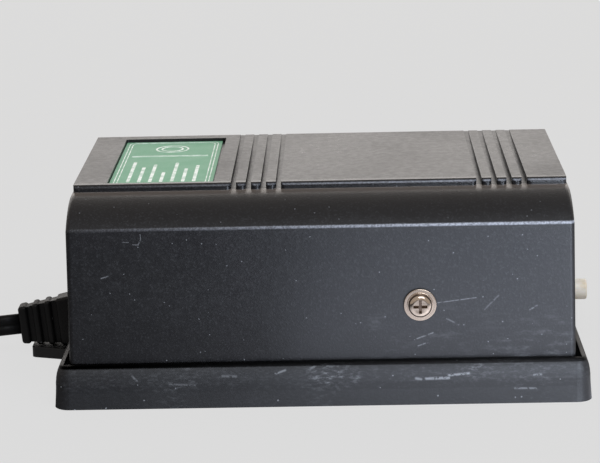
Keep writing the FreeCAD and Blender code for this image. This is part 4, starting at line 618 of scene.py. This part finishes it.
def laminations():
    """Varnished sheet steel: the sheets' edges show as fine lines from front to back."""
    made, tree, surface, place = new_material("laminations", Metallic=0.7)
    line = waves(tree, by_axis(tree, place)["Y"], 0.5 * MM)
    tint = blend(tree, between(tree, line, -0.9, 0.2), (0.03, 0.028, 0.026, 1.0),
                 (0.15, 0.14, 0.135, 1.0))
    rough = between(tree, noise(tree, place, 240.0), 0.3, 0.7, 0.35, 0.6)
    feed(tree, surface, Base_Color=tint, Roughness=rough, Normal=bump(tree, line, 0.06 * MM))
    return made


def board_laminate():
    """Green board with copper tracks under its lacquer: rows whose edges wander with noise."""
    made, tree, surface, place = new_material("board laminate", IOR=1.5)
    rows = waves(tree, by_axis(tree, place)["Y"], 5 * MM)
    jog = noise(tree, place, 60.0, 0.0)
    track = reckon(tree, "GREATER_THAN", reckon(tree, "ADD", rows, jog), 1.1)
    tint = blend(tree, track, (0.03, 0.15, 0.05, 1.0), (0.07, 0.27, 0.09, 1.0))
    rough = between(tree, noise(tree, place, 300.0), 0.3, 0.7, 0.25, 0.35)
    feed(tree, surface, Base_Color=tint, Roughness=rough, Normal=bump(tree, track, 0.03 * MM))
    return made


def clear_glass():
    """Glass tube with faint dust on it."""
    made, tree, surface, place = new_material("clear glass", IOR=1.5, Transmission_Weight=1.0)
    specks = effect(tree, "specks", Place=place, Scale=600.0, Size=0.2, Share=0.15)["Mask"]
    rough = reckon(tree, "ADD", reckon(tree, "MULTIPLY", specks, 0.3), 0.02)
    feed(tree, surface, Roughness=rough)
    return made


def dress(maker, *names):
    """Give CAD nodes a material."""
    material = maker()
    for name in names:
        if name not in NODES:
            raise RuntimeError("the frame has no node " + name)
        body = NODES[name]
        body.data.materials.clear()
        body.data.materials.append(material)


# Mesh helpers

def grid_mesh(points, closed_u=False, closed_v=False):
    """Vertices and faces of a grid of points, rows by columns, joined round where it closes."""
    rows, columns = points.shape[:2]
    i = np.arange(rows if closed_u else rows - 1)
    j = np.arange(columns if closed_v else columns - 1)
    a, b = np.meshgrid(i, j, indexing="ij")
    c, d = (a + 1) % rows, (b + 1) % columns
    faces = np.stack([a * columns + b, a * columns + d, c * columns + d, c * columns + b], -1)
    return points.reshape(-1, 3), faces.reshape(-1, 4).tolist()


def new_piece(name, vertices, faces, material, body, smooth=True):
    """A mesh object that rides on a CAD body."""
    mesh = bpy.data.meshes.new(name)
    mesh.from_pydata(np.asarray(vertices).tolist(), [], faces)
    mesh.materials.append(material)
    mesh.polygons.foreach_set("use_smooth", [smooth] * len(mesh.polygons))
    mesh.update()
    made = bpy.data.objects.new(name, mesh)
    bpy.context.scene.collection.objects.link(made)
    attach(made, body)
    return made


# Label print: a plain design of frame lines, rules, rings and bars. The rules' place and the
# longest bar are shares of the label's length, the rings' place of its width and length, and
# each bar of the longest.

FRAME_INSETS = (1.3 * MM, 2.3 * MM)
FRAME_CORNER = 2.5 * MM
RULES_AT = 0.64
RULES_APART = 1.2 * MM
RULES_INSET = 3.6 * MM
RINGS_AT = (0.5, 0.82)
RING_RADII = (5.2 * MM, 3.4 * MM)
BARS = (0.86, 0.62, 0.74, 0.4, 0.8, 0.55, 0.68)
BAR_LONGEST = 0.52
BAR_CORNER = 5 * MM
BAR_STEP = 3.4 * MM
BAR_WIDE = 1.1 * MM
BAR_ROUND = 0.5 * MM


def strip(path, width, low, lift):
    """A closed raised line of one width along a closed path in plan: each point is moved
    half the width along the outward normal, inside and outside, below and on top."""
    after, before = np.roll(path, -1, 0), np.roll(path, 1, 0)
    along = after - before
    normal = np.stack([along[:, 1], -along[:, 0]], -1)
    normal /= np.linalg.norm(normal, axis=1, keepdims=True)
    inside, outside = path - normal * width / 2, path + normal * width / 2
    rings = [np.column_stack([side, np.full(len(path), z)])
             for side, z in ((inside, low), (inside, low + lift), (outside, low + lift),
                             (outside, low))]
    return np.stack(rings, 0)


def rounded_outline(low, high, radius, points=9):
    """A rectangle with round corners, as a closed path that runs against the clock."""
    turns = np.linspace(0, math.pi / 2, points)
    path = []
    for k, (x, y) in enumerate(((high[0], high[1]), (low[0], high[1]), (low[0], low[1]),
                                (high[0], low[1]))):
        middle = np.array([x - radius * (1 if k in (0, 3) else -1),
                           y - radius * (1 if k in (0, 1) else -1)])
        angle = turns + k * math.pi / 2
        path.append(middle + radius * np.stack([np.cos(angle), np.sin(angle)], -1))
    return np.concatenate(path)


def bar(low, high, z, lift, radius):
    """A low solid bar with round ends: its outline below and on top, and one face each."""
    path = rounded_outline(np.array(low), np.array(high), radius, 4)
    n = len(path)
    vertices = np.concatenate([np.column_stack([path, np.full(n, h)]) for h in (z, z + lift)])
    ring = np.arange(n)
    faces = np.stack([ring, (ring + 1) % n, (ring + 1) % n + n, ring + n], -1).tolist()
    return vertices, faces + [list(range(n, 2 * n)), list(range(n))[::-1]]


def label_shapes():
    """The print's shapes, each as vertices and faces."""
    z, lift, line = LABEL_HIGH[2], sizes().ink_lift, sizes().ink_line
    low, high = LABEL_LOW[:2], LABEL_HIGH[:2]
    size = high - low
    for inset in FRAME_INSETS:
        path = rounded_outline(low + inset, high - inset, FRAME_CORNER)
        yield grid_mesh(strip(path, line * 0.7, z, lift), True, True)
    rules = low[1] + size[1] * RULES_AT
    for y in (rules, rules + RULES_APART):
        yield bar((low[0] + RULES_INSET, y), (high[0] - RULES_INSET, y + line), z, lift,
                  line * 0.45)
    turn = np.linspace(0, 2 * math.pi, 40, endpoint=False)
    for radius in RING_RADII:
        path = low + size * RINGS_AT + radius * np.stack([np.cos(turn), np.sin(turn)], -1)
        yield grid_mesh(strip(path, line * 1.4, z, lift), True, True)
    for k, share in enumerate(BARS):
        x, y = low[0] + BAR_CORNER + BAR_STEP * k, low[1] + BAR_CORNER
        yield bar((x, y), (x + BAR_WIDE, y + share * size[1] * BAR_LONGEST), z, lift, BAR_ROUND)


class CHARGER_OT_label(bpy.types.Operator):
    """Dress the label plate and print its plain design"""
    bl_idname = "charger.label"
    bl_label = "Label"

    def execute(self, context):
        dress(label_ground, "label_plate")
        vertices, faces, count = [], [], 0
        for points, sides in label_shapes():
            vertices.append(points)
            faces.extend([count + i for i in side] for side in sides)
            count += len(points)
        new_piece("label_print", np.concatenate(vertices), faces, label_ink(), "charger", False)
        return {"FINISHED"}


class CHARGER_OT_case(bpy.types.Operator):
    """Dress the black case and its outlet gland"""
    bl_idname = "charger.case"
    bl_label = "Case"

    def execute(self, context):
        dress(case_plastic, "case_cover")
        dress(lambda: soft_plastic("gland rubber", colours().lead), "outlet_gland")
        return {"FINISHED"}


class CHARGER_OT_tray(bpy.types.Operator):
    """Dress the rubber tray"""
    bl_idname = "charger.tray"
    bl_label = "Tray"

    def execute(self, context):
        dress(tray_rubber, "rubber_tray")
        return {"FINISHED"}


class CHARGER_OT_fasteners(bpy.types.Operator):
    """Dress the plated screws, washer, nuts and rivets, the bimetal disc and the spring"""
    bl_idname = "charger.fasteners"
    bl_label = "Fasteners"

    def execute(self, context):
        dress(screw_plate, "side_screw")
        dress(lambda: metal("nickel plate", colours().nickel, (0.14, 0.26), fine=2600.0,
                            tarnish=0.5), "side_washer", "ring_nut")
        dress(lambda: metal("zinc plate", (0.55, 0.55, 0.53), (0.25, 0.4)),
              "case_screws", "rectifier_nut", "strap_rivets", "board_screws", "bimetal_disc",
              "button_spring")
        return {"FINISHED"}


class CHARGER_OT_button(bpy.types.Operator):
    """Dress the reset button and its breaker, and swap its spring for a copy with a mesh of its
    own
    """
    bl_idname = "charger.button"
    bl_label = "Reset button"

    def execute(self, context):
        dress(button_cream, "reset_button")
        dress(lambda: hard_plastic("breaker moulding", (0.02, 0.02, 0.02)), "breaker_body",
              "breaker_cap")
        spring = bpy.data.objects.new("button_spring_coil", NODES["button_spring"].data.copy())
        context.scene.collection.objects.link(spring)
        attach(spring, "charger")
        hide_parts("button_spring")
        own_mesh(spring)
        return {"FINISHED"}


class CHARGER_OT_insides(bpy.types.Operator):
    """Dress the transformer, the rectifier, the board and the wires"""
    bl_idname = "charger.insides"
    bl_label = "Insides"

    def execute(self, context):
        dress(wound_wire, "primary_winding", "secondary_winding")
        dress(laminations, "transformer_core")
        dress(lambda: hard_plastic("bobbin nylon", (0.66, 0.63, 0.54)), "transformer_bobbin")
        dress(lambda: metal("plate steel", (0.5, 0.51, 0.52), (0.3, 0.45), (1.0, 8.0, 1.0)),
              "bottom_plate", "transformer_strap")
        dress(lambda: metal("sink aluminium", (0.75, 0.76, 0.77), (0.25, 0.4),
                            (0.2, 1.0, 1.0)), "heat_sink")
        dress(lambda: hard_plastic("rectifier epoxy", (0.025, 0.025, 0.027)),
              "bridge_rectifier")
        dress(lambda: metal("tinned brass", (0.7, 0.62, 0.42)), "rectifier_tags",
              "breaker_terminals", "fuse_clips", "fuse_caps", "board_spacers")
        dress(board_laminate, "circuit_board")
        dress(lambda: hard_plastic("capacitor sleeve", (0.02, 0.035, 0.12), (0.15, 0.25)),
              "smoothing_capacitor")
        dress(clear_glass, "fuse_glass")
        dress(lambda: hard_plastic("terminal moulding", (0.03, 0.16, 0.06)), "terminal_block")
        dress(lambda: soft_plastic("wire sleeve", (0.35, 0.02, 0.015)), "mains_wires",
              "secondary_wires", "rectified_wires")
        return {"FINISHED"}


# Mains lead: one smooth curve from the strain relief through the coil to the plug

RELIEF_NOSE = (-98.805 * MM, 0.0, 10.249 * MM)
RELIEF_DROOP = math.radians(5.3)
RELIEF_STRAIGHT = 20 * MM
COIL_X = 160 * MM
COIL_ENTRY = 18 * MM
COIL_EXIT = 14 * MM
COIL_POINTS = 20
TURN_BACK = 0.08
PLUG_RUN = 30 * MM
PLUG_X = 204 * MM
PLUG_Z = 6.5 * MM
GROOVE_HALF = 0.9 * MM


def lead_points():
    """Control points of the lead's route: out of the relief, down, in along the coil's lower
    layer and out along its upper one, and to the plug. Entry, exit and run are measured from
    the coil's middle, and the turn back is how round the innermost turn's change of way is."""
    s = sizes()
    down = math.tan(RELIEF_DROOP)
    start = [RELIEF_NOSE, (RELIEF_NOSE[0] - RELIEF_STRAIGHT, 0.0,
                           RELIEF_NOSE[2] - RELIEF_STRAIGHT * down),
             (COIL_ENTRY - COIL_X, 0.0, s.coil_low)]
    end = [(-COIL_X - COIL_EXIT, 0.0, s.coil_low + s.coil_step),
           (-COIL_X - PLUG_RUN, 0.0, PLUG_Z), (-PLUG_X, 0.0, PLUG_Z)]
    turns = (np.arange(s.coil_turns * COIL_POINTS) + 0.5) / COIL_POINTS
    middle = s.coil_turns / 2
    inner = s.coil_radius - s.coil_pitch * middle
    radius = inner + s.coil_pitch * np.sqrt((turns - middle) ** 2 + TURN_BACK ** 2)
    radius = radius / np.cos(math.pi / COIL_POINTS)
    rise = np.clip((turns - middle) * 2 + 0.5, 0, 1)
    angle = -math.pi / 2 - 2 * math.pi * turns
    coil = np.stack([radius * np.cos(angle) - COIL_X, radius * np.sin(angle) + s.coil_radius,
                     s.coil_low + s.coil_step * rise * rise * (3 - 2 * rise)], -1)
    return np.concatenate([np.array(start), coil, np.array(end)])


def smooth_path(points, least=1e-6):
    """Points along a quadratic spline with these control points, none nearer to the next
    than the least step."""
    curve = bpy.data.curves.new("lead_route", "CURVE")
    curve.dimensions = "3D"
    spline = curve.splines.new("NURBS")
    spline.points.add(len(points) - 1)
    spline.points.foreach_set("co", np.column_stack([points, np.ones(len(points))]).ravel())
    spline.order_u = 3
    spline.use_endpoint_u = True
    spline.resolution_u = 6
    made = bpy.data.objects.new("lead_route", curve)
    bpy.context.scene.collection.objects.link(made)
    bpy.context.view_layer.update()
    mesh = bpy.data.meshes.new_from_object(made)
    path = np.zeros(len(mesh.vertices) * 3)
    mesh.vertices.foreach_get("co", path)
    bpy.data.objects.remove(made)
    bpy.data.meshes.remove(mesh)
    path = path.reshape(-1, 3)
    keep = np.concatenate([[True], np.linalg.norm(np.diff(path, axis=0), axis=1) > least])
    return path[keep]


def twin_profile(points=12):
    """The lead's outline: a circle's arc at each end and a V groove half way up. The half
    thickness is a function of the height, mirrored for the other side."""
    s = sizes()
    wide, radius = s.lead_width / 2, s.lead_thick / 2
    flat = wide - radius
    height = wide * np.sin(np.linspace(-math.pi / 2, math.pi / 2, 2 * points + 1))
    over = np.clip(np.abs(height) - flat, 0, radius)
    half = np.sqrt(np.maximum(radius ** 2 - over ** 2, 0))
    half -= s.lead_groove * np.clip(1 - np.abs(height) / GROOVE_HALF, 0, 1)
    side = np.concatenate([half, -half[-2:0:-1]])
    up = np.concatenate([height, height[-2:0:-1]])
    return side, up


class CHARGER_OT_lead(bpy.types.Operator):
    """Make the flat mains lead with its stored coil, and dress its tie, plug and relief"""
    bl_idname = "charger.lead"
    bl_label = "Mains lead"

    def execute(self, context):
        path = smooth_path(lead_points())
        ahead = np.gradient(path, axis=0)
        ahead /= np.linalg.norm(ahead, axis=1, keepdims=True)
        across = np.cross(ahead, [0.0, 0.0, 1.0])
        across /= np.linalg.norm(across, axis=1, keepdims=True)
        upward = np.cross(across, ahead)
        side, up = twin_profile()
        points = (path[:, None, :] + across[:, None, :] * side[None, :, None]
                  + upward[:, None, :] * up[None, :, None])
        vertices, faces = grid_mesh(points, closed_v=True)
        n, last = len(side), len(vertices) - len(side)
        faces += [list(range(n))[::-1], list(range(last, last + n))]
        sheath = soft_plastic("lead sheath", colours().lead, (0.4, 0.48), 0.02, shine=0.12)
        lead = new_piece("mains_lead_whole", vertices, faces, sheath, "charger")
        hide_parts("mains_lead", "lead_coil", "plug_lead")
        dress(lambda: soft_plastic("lead moulding", colours().lead, (0.46, 0.56), 0.05,
                                   shine=0.22), "strain_relief", "plug")
        dress(lambda: soft_plastic("tie moulding", (0.02, 0.02, 0.02), (0.3, 0.4)), "lead_tie")
        dress(lambda: metal("plated blades", (0.72, 0.68, 0.58), (0.18, 0.3)), "plug_blades")
        return {"FINISHED"}


# Stage: floor, light and camera

# The camera's place in metres and its directions, fitted to the case's edges in the picture
CAMERA_AT = (0.00881, -0.70795, 0.2129)
CAMERA_RIGHT = (0.99961, 0.01682, -0.02249)
CAMERA_UP = (0.01784, 0.23821, 0.97105)
CAMERA_AHEAD = (-0.02169, 0.97107, -0.23781)
SENSOR_WIDTH = 36.0

# Each lamp's place, target, width and height in metres, its own brightness and its tint
LAMPS = {
    "back panel": ((0.0, 1.3, 0.5), (0, 0, 0.06), 2.4, 0.8, 1.08, (1.0, 0.975, 0.955)),
    "front box": ((0.27, -0.49, 0.1), (0.04, 0, 0.08), 0.3, 0.2, 22.0, (0.76, 0.85, 1.0)),
    "low box": ((0.075, -0.14, 0.017), (0.075, 0.166, 1.017), 0.17, 0.1, 2.7,
                (0.76, 0.83, 1.0)),
    "upper box": ((0.16, -0.5, 0.64), (0, 0, 0.05), 0.5, 0.4, 5.0, (0.86, 0.92, 1.0)),
}
CLOSE_LAMPS = ("front box", "low box")
BRIGHT_NODES = ("reset_button", "side_screw", "side_washer")

FLOOR_REACH = 10.0
FLOOR_DROP = 0.02 * MM
FLOOR_PLAIN_SHARE = 0.93
FLOOR_MIRRORED = 0.5
POOL_ALONG, POOL_ALONG_LEVELS = (-95 * MM, 85 * MM), (0.1, 1.6)
POOL_OUT, POOL_OUT_LEVELS = (-250 * MM, -90 * MM), (0.25, 1.7)
POOL_END = (-60 * MM, -20 * MM)
POOL_TINT = (0.62, 0.64, 0.72, 1.0)


def floor_material():
    """Pale floor: nearly all its own plain brightness to the camera, and a matt surface that
    takes light and the object's shadow. Glossy and clear surfaces see it at half brightness
    behind the object, and in front of it they see a cool pool of light at the right."""
    made = bpy.data.materials.new("pale floor")
    made.use_nodes = True
    tree = made.node_tree
    tree.nodes.clear()
    pale = opaque(colours().floor)
    matt = add(tree, "BsdfDiffuse", {"Color": pale}).outputs[0]
    ray = add(tree, "LightPath").outputs
    mirrored = reckon(tree, "MAXIMUM", ray["Is Glossy Ray"], ray["Is Transmission Ray"])
    axes = by_axis(tree, add(tree, "TexCoord").outputs["Object"])
    ahead = between(tree, axes["Y"], *POOL_END, 1.0, 0.0)
    pool = reckon(tree, "MULTIPLY", between(tree, axes["X"], *POOL_ALONG, *POOL_ALONG_LEVELS),
                  between(tree, axes["Y"], *POOL_OUT, *POOL_OUT_LEVELS))
    pool = between(tree, ahead, 0.0, 1.0, FLOOR_MIRRORED, pool, smooth=False)
    level = between(tree, mirrored, 0.0, 1.0, 1.0, pool, smooth=False)
    tint = blend(tree, reckon(tree, "MULTIPLY", mirrored, ahead), pale, POOL_TINT)
    plain = add(tree, "Emission", {"Color": tint, "Strength": level}).outputs[0]
    share = reckon(tree, "MULTIPLY", ray["Is Camera Ray"], FLOOR_PLAIN_SHARE)
    share = reckon(tree, "MAXIMUM", share, mirrored)
    both = add(tree, "MixShader", {0: share, 1: matt, 2: plain}).outputs[0]
    tree.links.new(both, add(tree, "OutputMaterial").inputs["Surface"])
    return made


def facing(place, right, upward, back):
    """The matrix of a lamp or camera at a place, by its three directions."""
    return Matrix([[right[i], upward[i], back[i], place[i]] for i in range(3)]
                  + [[0, 0, 0, 1]])


def soft_light(name, place, target, width, height, level, tint):
    """A rectangular lamp at a place, facing a target. Its level is its own brightness, and
    its power is that times pi times its area."""
    lamp = bpy.data.lights.new(name, "AREA")
    lamp.shape = "RECTANGLE"
    lamp.size, lamp.size_y = width, height
    lamp.energy = level * math.pi * width * height
    lamp.color = tint
    made = bpy.data.objects.new(name, lamp)
    made.visible_camera = False
    bpy.context.scene.collection.objects.link(made)
    away = np.array(place, float) - np.array(target, float)
    away /= np.linalg.norm(away)
    right = np.cross([0.0, 0.0, 1.0], away)
    right /= np.linalg.norm(right)
    made.matrix_world = facing(place, right, np.cross(away, right), away)
    return made


def flag_off(lamp, objects):
    """Keep a lamp's light off bright things close to it, which it would burn out."""
    unlit = bpy.data.collections.new("not lit by the " + lamp.name)
    for each in objects:
        unlit.objects.link(each)
    for each in unlit.collection_objects:
        each.light_linking.link_state = "EXCLUDE"
    lamp.light_linking.receiver_collection = unlit


def world_light():
    """Even surroundings of one soft grey."""
    world = bpy.data.worlds.new("soft grey surroundings")
    bpy.context.scene.world = world
    world.use_nodes = True
    tree = world.node_tree
    tree.nodes.clear()
    grey = add(tree, "Background", {"Color": opaque(colours().sky), "Strength": 1.0})
    tree.links.new(grey.outputs[0], add(tree, "OutputWorld").inputs["Surface"])


def make_floor():
    """A wide floor just under the object, which isn't part of it."""
    mesh = bpy.data.meshes.new("floor")
    corners = [(x * FLOOR_REACH, y * FLOOR_REACH, -FLOOR_DROP)
               for x, y in ((-1, -1), (1, -1), (1, 1), (-1, 1))]
    mesh.from_pydata(corners, [], [[0, 1, 2, 3]])
    mesh.materials.append(floor_material())
    floor = bpy.data.objects.new("floor", mesh)
    bpy.context.scene.collection.objects.link(floor)
    return floor


class CHARGER_OT_stage(bpy.types.Operator):
    """Set up the pale floor, the soft light and the camera"""
    bl_idname = "charger.stage"
    bl_label = "Stage"

    def execute(self, context):
        scene = context.scene
        bright = [make_floor()] + [NODES[name] for name in BRIGHT_NODES]
        world_light()
        lamps = {name: soft_light(name, *setting) for name, setting in LAMPS.items()}
        for name in CLOSE_LAMPS:
            flag_off(lamps[name], bright)
        camera = bpy.data.cameras.new("camera")
        camera.sensor_width = SENSOR_WIDTH
        camera.sensor_fit = "HORIZONTAL"
        camera.lens = sizes().camera_lens
        camera.clip_start = 50 * MM
        made = bpy.data.objects.new("camera", camera)
        scene.collection.objects.link(made)
        made.matrix_world = facing(CAMERA_AT, CAMERA_RIGHT, CAMERA_UP,
                                   [-v for v in CAMERA_AHEAD])
        scene.camera = made
        scene.view_settings.view_transform = "Standard"
        return {"FINISHED"}


PIECES = (CHARGER_OT_case, CHARGER_OT_tray, CHARGER_OT_label, CHARGER_OT_fasteners,
          CHARGER_OT_button, CHARGER_OT_insides, CHARGER_OT_lead, CHARGER_OT_stage)


class CHARGER_PT_panel(bpy.types.Panel):
    """Sizes, colours and the steps that dress the charger"""
    bl_idname = "CHARGER_PT_panel"
    bl_label = "Battery charger"
    bl_space_type = "VIEW_3D"
    bl_region_type = "UI"
    bl_category = "Charger"

    def draw(self, context):
        for title, owner in (("Sizes", context.scene.charger_sizes),
                             ("Colours", context.scene.charger_colours)):
            box = self.layout.box()
            box.label(text=title)
            for name in owner.__annotations__:
                box.prop(owner, name)
        for piece in PIECES:
            self.layout.operator(piece.bl_idname)


CLASSES = (ChargerSizes, ChargerColours) + PIECES + (CHARGER_PT_panel,)


def register():
    for each in CLASSES:
        bpy.utils.register_class(each)
    bpy.types.Scene.charger_sizes = bpy.props.PointerProperty(type=ChargerSizes)
    bpy.types.Scene.charger_colours = bpy.props.PointerProperty(type=ChargerColours)


def unregister():
    del bpy.types.Scene.charger_colours
    del bpy.types.Scene.charger_sizes
    for each in reversed(CLASSES):
        bpy.utils.unregister_class(each)


def main():
    register()
    for piece in PIECES:
        group, name = piece.bl_idname.split(".")
        getattr(getattr(bpy.ops, group), name)()


if __name__ == "__main__":
    main()
